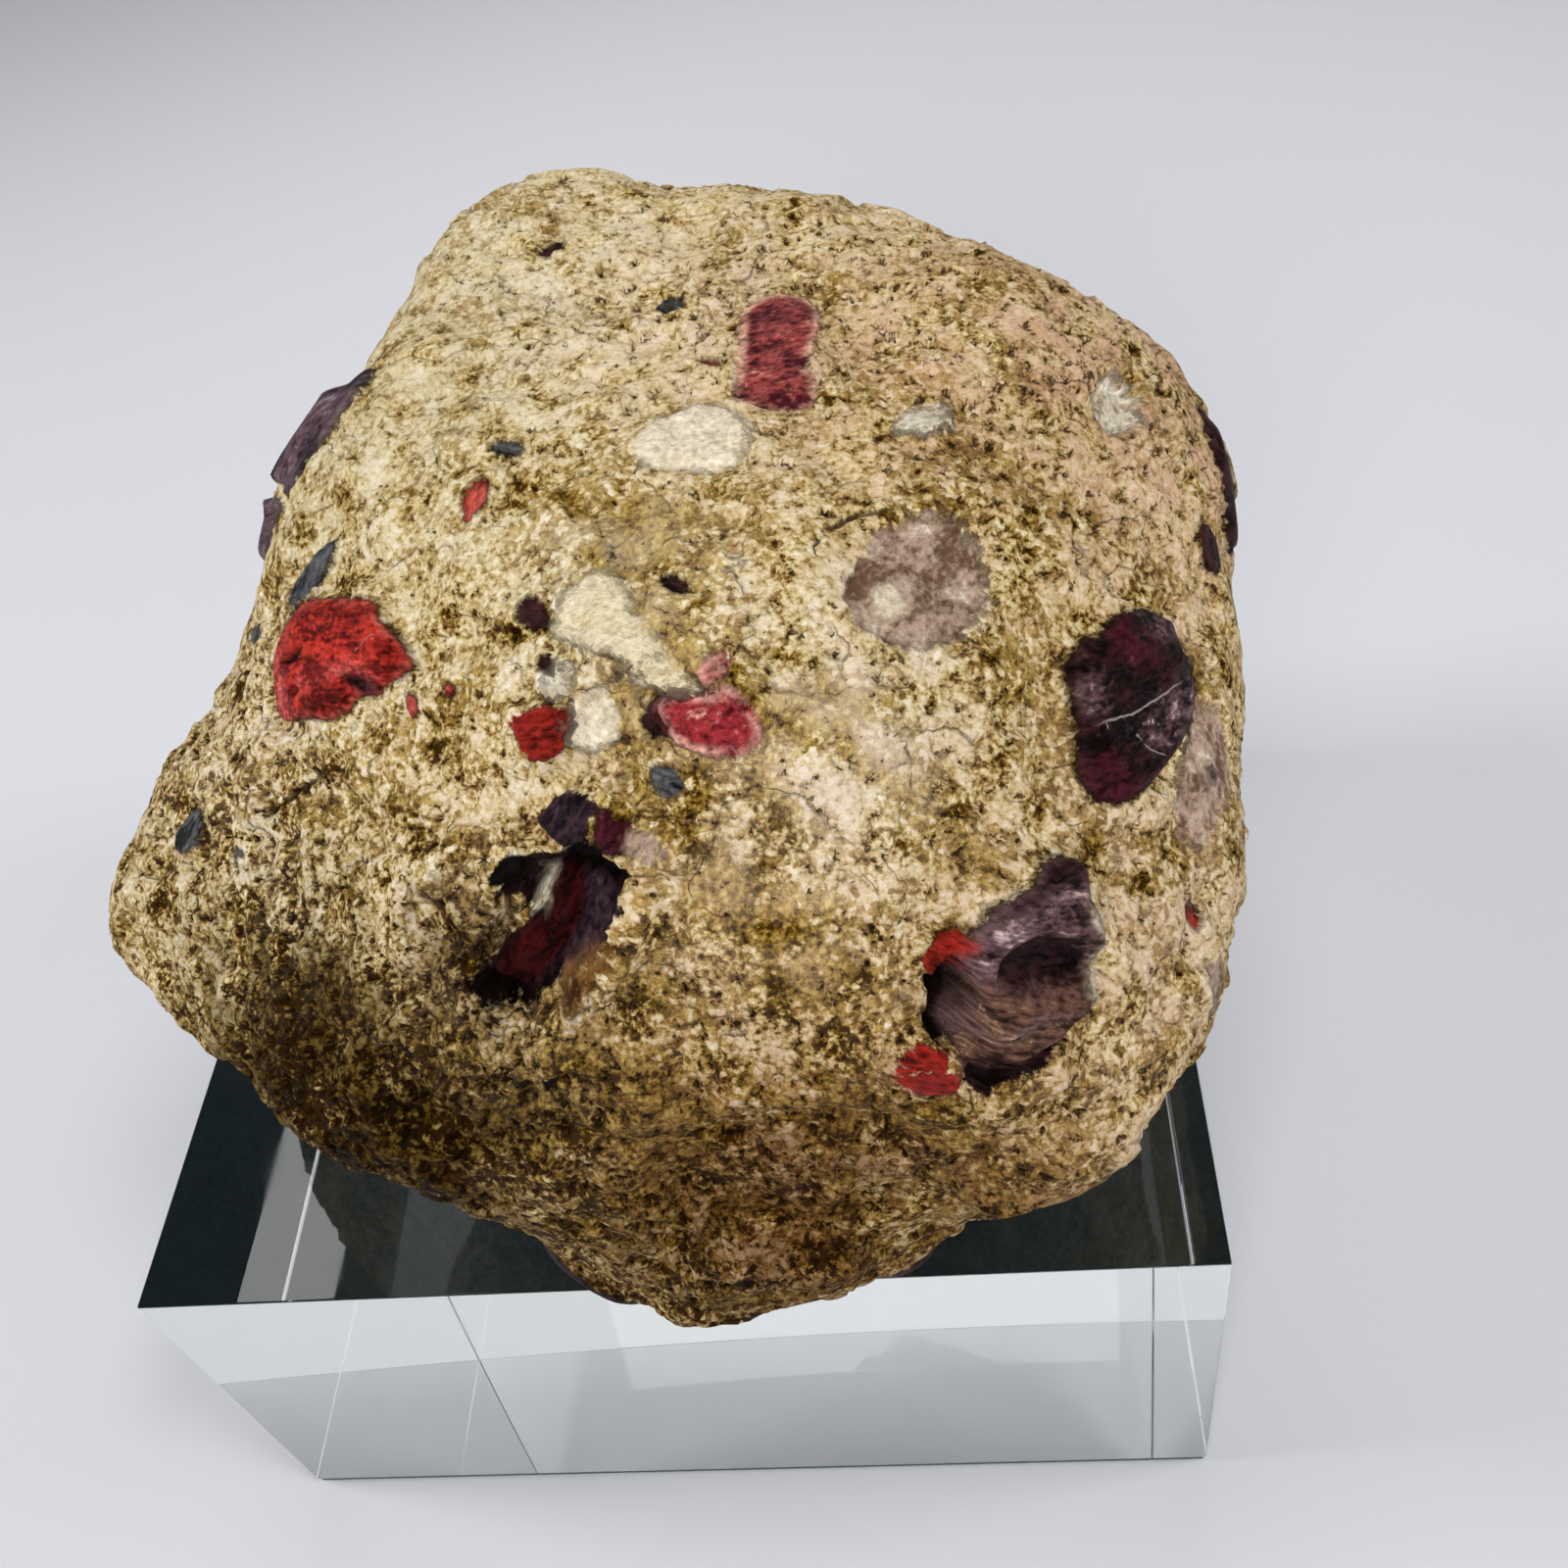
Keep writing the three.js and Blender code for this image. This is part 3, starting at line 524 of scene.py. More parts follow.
def pebbleOutline(bearing, turn, shape):
    if isinstance(shape, list):
        return roundOutline(shape)
    length, width, *shift = shape
    t = math.radians(turn)
    lean = math.radians(bearing)  # each plain pebble is a little out of round in its own way
    points = []
    for step in range(pebble["points"]):
        a = math.tau * step / pebble["points"]
        swell = (1 + pebble["threeLobes"] * math.sin(3 * a + 5 * lean)
                 + pebble["fiveLobes"] * math.sin(5 * a + 9 * lean))
        x, y = length / 2 * math.cos(a) * swell, width / 2 * math.sin(a) * swell
        points.append((x * math.cos(t) - y * math.sin(t), x * math.sin(t) + y * math.cos(t)))
    return roundOutline(points, 3) + np.array(shift or (0, 0))


def outlineDistance(x, y, outline):  # millimetres from the outline, negative inside
    nearest = np.full(len(x), 1e9)
    inside = np.zeros(len(x), bool)
    for (ax, ay), (bx, by) in zip(outline, np.roll(outline, -1, 0)):
        ux, uy = bx - ax, by - ay
        t = np.clip(((x - ax) * ux + (y - ay) * uy) / (ux * ux + uy * uy), 0, 1)
        nearest = np.minimum(nearest, np.hypot(x - ax - t * ux, y - ay - t * uy))
        crosses = (ay > y) != (by > y)
        inside ^= crosses & (x < ux * (y - ay) / (by - ay if by != ay else 1e-9) + ax)
    return np.where(inside, -nearest, nearest)


def coatOf(finish):  # its three colours and nine numbers in one row
    looks = finishes[finish]
    return np.array([c for part in looks[:3] for c in linear(part)[:3]] + list(looks[3:12]))


def layPebbles(aims):  # what the mesh keeps about the pebble at or nearest to each point
    count = len(aims)
    margin, overlap = pebble["margin"], pebble["overlap"]
    laid = {"edge": np.full(count, margin), "own": np.full(count, margin), "coat": np.zeros((count, 18)),
            "spot": np.zeros((count, 3)), "rise": np.zeros(count)}
    leads = {}  # pebbles at one place share the grain of the first
    for number, (name, bearing, elevation, finish, rise, turn, shape) in enumerate(pebbles):
        leadNumber, leadTurn, leadFinish = leads.setdefault((bearing, elevation), (number, turn, finish))
        x, y, ahead = localPlace(aims, (bearing, elevation))
        outline = pebbleOutline(bearing, turn, shape)
        low, high = outline.min(0) - margin, outline.max(0) + margin
        near = np.nonzero(ahead & (x > low[0]) & (x < high[0]) & (y > low[1]) & (y < high[1]))[0]
        distance = outlineDistance(x[near], y[near], outline)
        laid["edge"][near] = np.minimum(laid["edge"][near], distance)
        laid["rise"][near] += rise * (1 - smoothStep(distance, *pebble["slope"]))
        over = laid["own"][near] < 0
        wins = (distance < 0) | (distance < laid["own"][near])
        share = np.where(over, 1 - smoothStep(distance, -overlap, overlap), wins)
        laid["coat"][near] += (coatOf(finish) - laid["coat"][near]) * share[:, None]
        chosen = near[wins]
        laid["own"][chosen] = distance[wins]
        t = math.radians(leadTurn)
        drawnOut = pebble["drawnOut"] * finishes[leadFinish][traits.index("streak")]
        x, y = x[chosen], y[chosen]
        laid["spot"][chosen, 0] = (x * math.cos(t) + y * math.sin(t)) * (1 - drawnOut)
        laid["spot"][chosen, 1] = (y * math.cos(t) - x * math.sin(t)) * (1 + drawnOut)
        laid["spot"][chosen, 2] = pebble["apart"] * leadNumber
    return laid


def layLines(aims, lines):  # how far across the nearest line in half widths, and along it in half lengths
    field = np.full((len(aims), 3), lineReach["far"])
    nearest = np.full(len(aims), lineReach["near"])
    for name, bearing, elevation, middleX, middleY, length, turn, bend, width in lines:
        x, y, ahead = localPlace(aims, (bearing, elevation))
        t = math.radians(turn)
        along = ((x - middleX) * math.cos(t) + (y - middleY) * math.sin(t)) / (length / 2)
        across = (y - middleY) * math.cos(t) - (x - middleX) * math.sin(t) - bend * (1 - along ** 2)
        distance = np.hypot(across, np.maximum(np.abs(along) - 1, 0) * length / 2)
        near = ahead & (distance < nearest)
        nearest[near] = distance[near]
        field[near, 0] = across[near] / (width / 2)
        field[near, 1] = along[near]
    return field


# Broad changes in the sand. name, bearing, elevation, spread, then the strengths of
# ochre, olive, rose, mauve, white, soil (painted shade on the undersides and under the overhangs, with
# soil), crumb and pitting
zones = [
    ("worn crown", -120, 80, 34, -0.3, 0.15, 0, 0, 0.45, 0, -0.6, 0),
    ("worn right crown", 120, 72, 26, 0, 0, 0.3, 0, 0.1, 0, -0.4, 0.3),
    ("ochre shoulder", -100, 66, 22, 0.3, 0.3, 0, 0, 0, 0, -0.4, 0),
    ("golden middle", 20, 57, 12, 0.9, 0, 0, 0, 0.1, 0, 0, 0.1),
    ("pale plate", 12, 50, 8, 0, 0, 0, 0, 0.7, 0, -0.5, 0),
    ("golden front", 19, 36, 10, 0.8, 0, 0.1, 0, 0.2, 0, 0.1, 0.1),
    ("warm front", 15, 6, 34, 0.6, 0, 0.4, 0, 0, 0, 0, 0),
    ("rosy right", 80, 46, 24, 0.2, 0, 0.6, 0, 0.1, 0, -0.3, 0.45),
    ("rosy right side", 92, 20, 22, 0, 0, 0.8, 0.2, 0.3, 0, -0.2, 0.3),
    ("crystal patch", 33, 31, 7, 0, 0, 0.3, 0, 1.0, 0, -0.2, 0),
    ("pale middle", 22, 21, 9, 0.2, 0, 0.1, 0, 0.3, 0, 0.3, 0),
    ("pale right", 48, 6, 16, 0.1, 0, 0.4, 0.15, 0.35, 0, 0.1, 0.2),
    ("tan left", -50, 24, 20, 0.1, 0, 0.2, 0, 0.15, 0, 0.8, 0.3),
    ("crumbly front", -6, 17, 15, 0.2, 0.1, 0.1, 0, 0.2, 0, 0.8, 0.4),
    ("brown beside the socket", -8.5, 17.5, 4, 0, 0, 0, 0.5, 0, 0.7, 0.8, 0.5),
    ("left side", -70, 8, 22, 0, 0.1, 0.1, 0, 0.1, 0.1, 0.5, 0.2),
    ("olive left", -34, 8, 13, 0.5, 0.5, 0, 0, 0.1, 0.1, 0.9, 0.6),
    # painted shade under the left overhang and at its foot, with soil
    ("shaded and soiled lower left", -18, 0, 13, 0, 0.6, 0, 0, 0, 1.0, 0.6, 0.6),
    ("shaded and soiled left foot", -34, -12, 16, 0, 0.6, 0, 0, 0, 0.9, 0.5, 0.5),
    ("olive front", 0, 6, 9, 0.6, 0.4, 0, 0, 0, 0.2, 0.8, 0.5),
    ("mauve underside", 20, -6, 15, 0.3, 0, 0.3, 0.6, 0.02, 0.35, 0.3, 0.5),
    ("brown toe", 2, -18, 16, 0.3, 0.1, 0.2, 0.3, 0.0, 0.35, 0.7, 0.6),
    ("under the toe", 0, -45, 22, 0, 0.3, 0.1, 0.2, 0, 0.4, 0.2, 0.3),
    ("rosy back", 150, -10, 35, 0.1, 0, 0.6, 0.2, 0.1, 0, 0.2, 0.3),
    ("ochre back", -160, 25, 28, 0.6, 0.2, 0, 0, 0.2, 0, 0.1, 0.2),
    ("pale back", 175, 12, 14, 0, 0, 0, 0, 0.6, 0, -0.2, 0),
    ("olive left back", -120, -25, 30, 0.1, 0.6, 0, 0.1, 0, 0.3, 0.4, 0.3),
]
zoneLimits = {"crumb": 0.3, "crumbShare": 0.6, "most": 1.2}


def zoneStrengths(aims):
    total = np.zeros((len(aims), 8))
    for name, bearing, elevation, spread, *strengths in zones:
        angle = np.degrees(np.arccos(np.clip(aims @ direction(bearing, elevation), -1, 1)))
        total += np.exp(-((angle / spread) ** 2))[:, None] * np.array(strengths)
    total[:, 6] = zoneLimits["crumb"] + zoneLimits["crumbShare"] * total[:, 6]
    return np.clip(total, 0, zoneLimits["most"])


def keep(mesh, name, values):  # an attribute of the points, a number or a vector each
    kind, key = ("FLOAT", "value") if values.ndim == 1 else ("FLOAT_VECTOR", "vector")
    mesh.attributes.new(name, kind, "POINT").data.foreach_set(key, values.astype(np.float32).ravel())


# The cemented sand. The relief and the material read the same tooth, so pits get painted shade where deep.
sand = {
    "crumb": 2.6, "crumbHeight": 0.8,  # rounded crumbs of cemented grains, on the crumbly sides
    "cluster": 1.3, "clusterHeight": 0.3,
    "tooth": 0.95, "toothHeight": 0.3, "pitDepth": 0.5,  # the finest relief that the mesh carries
    "lump": 7.0, "lumpHeight": 2.0,
    "ledge": 8.0, "ledgeHeight": 0.4,
    "warp": 2.4, "warpReach": 1.3,
    "stain": 6.5,
    "crackDepth": 0.35,
    "pitShare": 0.36, "pitting": 0.07, "pitEdge": 0.03,  # where the tooth is low enough to be a pit
    "ragged": 1.1, "raggedBlend": 3, "edgeWidth": 0.09, "edgeBlend": 0.5,  # how the sand meets a pebble
    "crackWander": 6,
}


def toothNodes(add, kept):  # the sand's finest relief, its pits, and where sand covers the pebbles
    tooth = add("TexNoise", {"Scale": 1 / (sand["tooth"] * mm), "Detail": 5.0, "Roughness": 0.74},
                {"Vector": kept["rest"]})
    pitEdge = add("Math MULTIPLY_ADD", {1: sand["pitting"], 2: sand["pitShare"]}, {0: kept["pitting"]})
    below = add("Math SUBTRACT", {}, {0: pitEdge, 1: tooth})
    pit = add("MapRange", {"From Min": -sand["pitEdge"], "From Max": sand["pitEdge"],
                           "interpolation_type": "SMOOTHSTEP"}, {"Value": below})
    reach = add("Math MULTIPLY_ADD", {1: sand["raggedBlend"], 2: sand["ragged"]}, {0: kept["blend"]})
    centred = add("Math SUBTRACT", {1: 0.5}, {0: tooth})
    ragged = add("Math MULTIPLY_ADD", {}, {0: centred, 1: reach, 2: kept["edge"]})
    width = add("Math MULTIPLY_ADD", {1: sand["edgeBlend"], 2: sand["edgeWidth"]}, {0: kept["blend"]})
    sharp = add("Math DIVIDE", {}, {0: ragged, 1: width})
    matrix = add("MapRange", {"From Min": -1.0, "From Max": 1.0, "interpolation_type": "SMOOTHSTEP"},
                 {"Value": sharp})
    return tooth, pit, matrix, ragged


def lineMask(add, field, wander, reach):  # 1 on the line, 0 off it; wander bends it by reach half widths
    place = add("SeparateXYZ", {}, {0: field})
    bent = add("Math MULTIPLY_ADD", {1: reach}, {0: wander, 2: (place, "X")})
    bent = add("Math SUBTRACT", {1: reach / 2}, {0: bent})
    off = add("Math ABSOLUTE", {}, {0: bent})
    across = add("MapRange", {"From Min": 1.5, "From Max": 0.5}, {"Value": off})
    past = add("Math ABSOLUTE", {}, {0: (place, "Y")})
    along = add("MapRange", {"From Min": 1.0, "From Max": 0.7}, {"Value": past})
    return add("Math MULTIPLY", {}, {0: across, 1: along})


def reliefModifier(shape):
    tree = bpy.data.node_groups.new("sand relief", "GeometryNodeTree")
    tree.interface.new_socket("Geometry", in_out="INPUT", socket_type="NodeSocketGeometry")
    tree.interface.new_socket("Geometry", in_out="OUTPUT", socket_type="NodeSocketGeometry")
    add = partial(addNode, tree)
    start = add("NodeGroupInput")
    kept = {}
    for name, kind in (("rest", "FLOAT_VECTOR"), ("edge", "FLOAT"), ("crumble", "FLOAT"),
                       ("pitting", "FLOAT"), ("darkCrack", "FLOAT_VECTOR"), ("edges", "FLOAT_VECTOR")):
        kept[name] = add("GeometryNodeInputNamedAttribute", {"data_type": kind, "Name": name})
    kept["blend"] = (add("SeparateXYZ", {}, {0: kept["edges"]}), "Y")
    rest, crumble = kept["rest"], kept["crumble"]
    tooth, pit, matrix, ragged = toothNodes(add, kept)
    shift = add("TexNoise", {"Scale": 1 / (sand["warp"] * mm), "Detail": 3.0}, {"Vector": rest})
    swirl = add("VectorMath MULTIPLY_ADD", {1: (sand["warpReach"] * mm,) * 3},
                {0: (shift, "Color"), 2: rest})
    domes = {}
    for name in ("crumb", "cluster"):
        cells = add("TexVoronoi", {"Scale": 1 / (sand[name] * mm)}, {"Vector": swirl})
        drop = add("Math POWER", {1: 2.0}, {0: (cells, "Distance")})
        domes[name] = cells, drop
    lump = add("TexNoise", {"Scale": 1 / (sand["lump"] * mm), "Detail": 2.0}, {"Vector": rest})
    shelf = add("TexNoise", {"Scale": 1 / (sand["ledge"] * mm), "Detail": 4.0, "Roughness": 0.5},
                {"Vector": swirl})
    ledge = add("MapRange", {"From Min": 0.5, "From Max": 0.53, "interpolation_type": "SMOOTHSTEP"},
                {"Value": shelf})
    lowShelf = add("MapRange", {"From Min": 0.4, "From Max": 0.43, "interpolation_type": "SMOOTHSTEP"},
                   {"Value": shelf})
    clusterShare = add("MapRange", {"To Min": 0.2, "To Max": 1.0}, {"Value": crumble})
    crack = lineMask(add, kept["darkCrack"], tooth, sand["crackWander"])
    heights = [
        (lump, sand["lumpHeight"], None),
        (domes["crumb"][1], -sand["crumbHeight"], crumble),
        (domes["cluster"][1], -sand["clusterHeight"], clusterShare),
        (tooth, sand["toothHeight"], None),
        (pit, -sand["pitDepth"], None),
        (ledge, sand["ledgeHeight"], None),
        (lowShelf, sand["ledgeHeight"], None),
        (crack, -sand["crackDepth"], None),
    ]
    total = add("Math", {0: -sand["lumpHeight"] / 2 - sand["ledgeHeight"], 1: 0.0})
    for source, height, share in heights:
        scaled = add("Math MULTIPLY", {1: height}, {0: source})
        if share is not None:
            scaled = add("Math MULTIPLY", {}, {0: scaled, 1: share})
        total = add("Math", {}, {0: total, 1: scaled})
    length = add("Math MULTIPLY", {1: mm}, {0: total})
    length = add("Math MULTIPLY", {}, {0: length, 1: matrix})
    normal = add("GeometryNodeInputNormal")
    offset = add("VectorMath SCALE", {}, {0: normal, "Scale": length})

    # what the material reads: how deep in a gap (painted there as shade), the crumb's own tone, and slow
    # clouds of stain
    gap = add("Math MULTIPLY_ADD", {1: 0.6}, {0: domes["crumb"][1], 2: domes["cluster"][1]})
    tone = add("SeparateXYZ", {}, {0: (domes["crumb"][0], "Color")})
    clusterTone = add("SeparateXYZ", {}, {0: (domes["cluster"][0], "Color")})
    crumbs = add("CombineXYZ", {}, {0: gap, 1: (tone, "X"), 2: (clusterTone, "X")})
    stain = add("TexNoise", {"Scale": 1 / (sand["stain"] * mm), "Detail": 5.0, "Roughness": 0.6},
                {"Vector": swirl})
    patch = add("TexNoise", {"Scale": 1 / (sand["stain"] / 2 * mm), "Detail": 4.0}, {"Vector": rest})
    clouds = add("CombineXYZ", {}, {0: stain, 1: patch, 2: shelf})
    stored = (start, "Geometry")
    for name, source in (("crumbs", crumbs), ("clouds", clouds)):
        stored = add("GeometryNodeStoreNamedAttribute", {"data_type": "FLOAT_VECTOR", "Name": name},
                     {"Geometry": stored, "Value": source})
    moved = add("GeometryNodeSetPosition", {}, {"Geometry": stored, "Offset": offset})
    add("NodeGroupOutput", {}, {"Geometry": moved})
    modifier = shape.modifiers.new("sand relief", "NODES")
    modifier.node_group = tree


def settled(shape):  # the mesh with its modifiers applied
    mesh = bpy.data.meshes.new_from_object(shape.evaluated_get(bpy.context.evaluated_depsgraph_get()))
    old = shape.data
    shape.modifiers.clear()
    shape.data = mesh
    bpy.data.meshes.remove(old)
    return mesh


def layForm(shape):  # the ball pushed out to the stone's form, with what its relief and material read
    mesh = shape.data
    aims = pointsOf(mesh).astype(float)
    aims /= np.linalg.norm(aims, axis=1, keepdims=True)
    laid = layPebbles(aims)
    reach = blockReach(aims) + swellingHeight(aims) + reliefHeight(aims) + laid["rise"]
    rest = (aims * reach[:, None] + np.array(stone["centre"])) * mm
    mesh.vertices.foreach_set("co", rest.astype(np.float32).ravel())
    strengths = zoneStrengths(aims)
    keep(mesh, "rest", rest)
    keep(mesh, "edge", laid["edge"])
    keep(mesh, "own", laid["own"])
    keep(mesh, "spot", laid["spot"] * mm)
    keep(mesh, "warmth", strengths[:, 0:3])  # ochre, olive, rose
    keep(mesh, "coolness", strengths[:, 3:6])  # mauve, white, soil
    keep(mesh, "crumble", strengths[:, 6])
    keep(mesh, "pitting", strengths[:, 7])
    keep(mesh, "paleVein", layLines(aims, paleVeins))
    keep(mesh, "darkCrack", layLines(aims, darkCracks))
    for number, name in enumerate(("main", "dark", "pale", "shares", "habits", "edges")):
        keep(mesh, name, laid["coat"][:, 3 * number:3 * number + 3])
    mesh.shade_smooth()
    print("stone form made:", len(mesh.polygons), "faces")


def clearBlock(mesh):  # nothing of the stone reaches into the block that it stands on
    points = pointsOf(mesh)
    points[:, 2] = np.maximum(points[:, 2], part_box("acrylic_block")[1].z + stone["clearance"] * mm)
    mesh.vertices.foreach_set("co", points.ravel())


def thinModifier(shape):  # fewer triangles on the sand than round the pebbles
    mesh = shape.data
    edge = np.empty(len(mesh.vertices), np.float32)
    mesh.attributes["edge"].data.foreach_get("value", edge)
    fine = shape.vertex_groups.new(name="fine")
    for chosen, weight in ((edge < stone["pebbleReach"], stone["pebbleWeight"]),
                           (edge >= stone["pebbleReach"], 1.0)):
        fine.add(np.nonzero(chosen)[0].tolist(), weight, "REPLACE")
    thin = shape.modifiers.new("thin", "DECIMATE")
    thin.vertex_group = fine.name
    thin.vertex_group_factor = stone["pebbleHold"]
    thin.ratio = stone["triangles"] / len(mesh.polygons)


def makeStone():
    ball = bmesh.new()
    bmesh.ops.create_icosphere(ball, subdivisions=stone["subdivisions"], radius=1)
    shape = shapeFrom(ball, "puddingstone_worn")
    layForm(shape)
    reliefModifier(shape)
    clearBlock(settled(shape))
    print("sand relief applied")
    thinModifier(shape)
    mesh = settled(shape)
    mesh.shade_smooth()
    print("stone thinned:", len(mesh.polygons), "faces")
    return shape


# ---- the stone's material
grains = {
    # medium sand, 0.2 to 0.6 mm, with the coarser grains drawn and the finest left to the sugar
    "size": 0.45, "sugar": 0.42, "warp": 0.8, "warpReach": 0.35,
    "domeHeight": 0.12, "toothHeight": 0.42, "ledgeHeight": 0.3, "pitDepth": 0.4, "crackDepth": 0.3,
    "darkness": -0.655, "contrast": 1.45, "crumbContrast": 0.8, "patchContrast": -1.2,
    "tones": [(0.18, "#33200a"), (0.28, "#7c5c28"), (0.37, "#ae955c"), (0.47, "#c8b689"), (0.58, "#d8caab"),
              (0.73, "#e4dcc6"), (0.9, "#f3eee2")],
    "ochreTones": [(0.2, "#362306"), (0.4, "#755610"), (0.58, "#a88a36"), (0.8, "#d6c27c")],
    # painted shade in the pits and along the foot of the shelves, and the dark of the cracks
    "shadedHoles": "#2b1908", "shadedHoleShare": 0.85,
}
# what makes a grain pale, and what makes it golden. gap and grainEdge paint shade between crumbs and grains,
# and tooth makes the low sand darker than the raised: partly painted shade
paleness = [("tooth", 0.75), ("sugar", 0.75), ("grainTone", 0.12), ("grainEdge", -0.1), ("gap", -0.12),
            # soil darkens the grains: painted shade on the undersides, with soil
            ("crumbTone", 0.08), ("clusterTone", 0.1), ("patch", 0.58), ("white", 0.12), ("soil", -0.09)]
goldenness = [("ochre", 0.22), ("tooth", -0.35), ("patch", -0.3), ("grainHue", 0.25)]
# zone, how its tint is laid on, tint, strength, and the clouds that break it up
tints = [
    ("olive", "MULTIPLY", "#b3ae7c", 0.9, "stain"),
    ("rose", "MULTIPLY", "#e0b6a0", 0.85, "patch"),
    ("mauve", "MULTIPLY", "#a87f74", 0.9, "shelf"),
    ("white", "MIX", "#e6dfd2", 0.35, "patch"),
    # painted shade on the undersides and under the overhangs, with soil
    ("soil", "MULTIPLY", "#8a7e58", 1.4, "patch"),
]
flesh = {
    "fracture": 2.6, "fractureSlope": 0.8,  # the faces that a broken jasper pebble shows
    "blotch": 2, "streak": 0.45, "streakShare": 0.45, "faceShare": 0.3,
    "crack": "#150b08", "seam": "#1c1007", "seamDepth": 0.25,
    "vein": "#9a8a8a", "veinShare": 0.8, "veinWander": 3,
}
tripled = {  # what the mesh keeps three to an attribute
    "warmth": ("ochre", "olive", "rose"), "coolness": ("mauve", "white", "soil"),
    "shares": traits[3:6], "habits": traits[6:9], "edges": traits[9:12],
    "crumbs": ("gap", "crumbTone", "clusterTone"), "clouds": ("stain", "patch", "shelf"),
}


def readStone(add):  # everything that the mesh keeps, by name
    read = {}
    for output, names in (("Vector", ("rest", "spot", "paleVein", "darkCrack")), ("Color", traits[:3]),
                          ("Fac", ("edge", "own", "crumble", "pitting"))):
        for name in names:
            read[name] = (add("Attribute", {"attribute_name": name}), output)
    for name, parts in tripled.items():
        kept = add("Attribute", {"attribute_name": name})
        apart = add("SeparateXYZ", {}, {0: (kept, "Vector")})
        read.update((part, (apart, axis)) for part, axis in zip(parts, "XYZ"))
    return read


def readGrains(add, read):  # single grains: each its own tone, rounded, with painted shade between them
    warp = add("TexNoise", {"Scale": 1 / (grains["warp"] * mm), "Detail": 2.0}, {"Vector": read["rest"]})
    bent = add("VectorMath MULTIPLY_ADD", {1: (grains["warpReach"] * mm,) * 3},
               {0: (warp, "Color"), 2: read["rest"]})
    cells = add("TexVoronoi", {"Scale": 1 / (grains["size"] * mm)}, {"Vector": bent})
    cellTone = add("SeparateXYZ", {}, {0: (cells, "Color")})
    sugar = add("TexNoise", {"Scale": 1 / (grains["sugar"] * mm), "Detail": 3.0, "Roughness": 0.65},
                {"Vector": read["rest"]})
    return {"sugar": sugar, "grainTone": (cellTone, "X"), "grainHue": (cellTone, "Y"),
            "grainEdge": (cells, "Distance")}


def sandColour(add, read):  # and how pale each grain is
    level = add("Math", {0: grains["darkness"], 1: 0.0})
    for name, weight in paleness:
        level = add("Math MULTIPLY_ADD", {1: weight}, {0: read[name], 2: level})
    contrast = add("Math MULTIPLY_ADD", {1: grains["crumbContrast"], 2: grains["contrast"]},
                   {0: read["crumble"]})
    contrast = add("Math MULTIPLY_ADD", {1: grains["patchContrast"]}, {0: read["patch"], 2: contrast})
    level = add("Math SUBTRACT", {1: 0.5}, {0: level})
    level = add("Math MULTIPLY_ADD", {2: 0.5}, {0: level, 1: contrast})
    colour = add("ValToRGB", {"stops": grains["tones"]}, {0: level})

    # golden ochre gathers in patches, then come the broad tints
    ochre = read["stain"]
    for name, weight in goldenness:
        ochre = add("Math MULTIPLY_ADD", {1: weight}, {0: read[name], 2: ochre})
    ochreMask = add("MapRange", {"From Min": 0.33, "From Max": 0.47, "To Max": 0.9,
                                 "interpolation_type": "SMOOTHSTEP"}, {"Value": ochre})
    ochreTone = add("ValToRGB", {"stops": grains["ochreTones"]}, {0: level})
    colour = add("Mix", {"data_type": "RGBA"}, {"Factor": ochreMask, "A": colour, "B": ochreTone})
    for zone, blending, tint, strength, cloud in tints:
        cloudShare = add("MapRange", {"From Min": 0.35, "From Max": 0.6, "To Max": strength},
                         {"Value": read[cloud]})
        share = add("Math MULTIPLY", {"use_clamp": True}, {0: cloudShare, 1: read[zone]})
        colour = add("Mix", {"data_type": "RGBA", "blend_type": blending, "B": linear(tint)},
                     {"Factor": share, "A": colour})
    return colour, level


def sandCracksAndShelfShadows(add, read):  # the listed cracks, and painted shadow in broken lines along the foot of the shelves
    offShelf = add("Math MULTIPLY_ADD", {1: 0.06}, {0: read["tooth"], 2: read["shelf"]})
    offShelf = add("Math SUBTRACT", {1: 0.535}, {0: offShelf})
    offShelf = add("Math ABSOLUTE", {}, {0: offShelf})
    shelfFootShadow = add("MapRange", {"From Min": 0.007, "From Max": 0.001, "To Max": 0.5}, {"Value": offShelf})
    broken = add("MapRange", {"From Min": 0.55, "From Max": 0.63}, {"Value": read["patch"]})
    shelfFootShadow = add("Math MULTIPLY", {}, {0: shelfFootShadow, 1: broken})
    crack = lineMask(add, read["darkCrack"], read["tooth"], sand["crackWander"])
    return add("Math MAXIMUM", {}, {0: crack, 1: shelfFootShadow})


def readFlesh(add, read):  # a pebble's inside: blotches, streaks, and broken faces each with its tilt
    blotch = add("TexNoise", {"Scale": 1 / (flesh["blotch"] * mm), "Detail": 5.0, "Roughness": 0.62},
                 {"Vector": read["spot"]})
    streak = add("TexNoise", {"Scale": 1 / (flesh["streak"] * mm), "Detail": 3.0}, {"Vector": read["spot"]})
    faces = add("TexVoronoi", {"Scale": 1 / (flesh["fracture"] * mm)}, {"Vector": read["spot"]})
    tilt = add("VectorMath SUBTRACT", {1: (0.5, 0.5, 0.5)}, {0: (faces, "Color")})
    return {"blotch": blotch, "streak": streak, "faceMiddle": (faces, "Position"), "tilt": tilt}


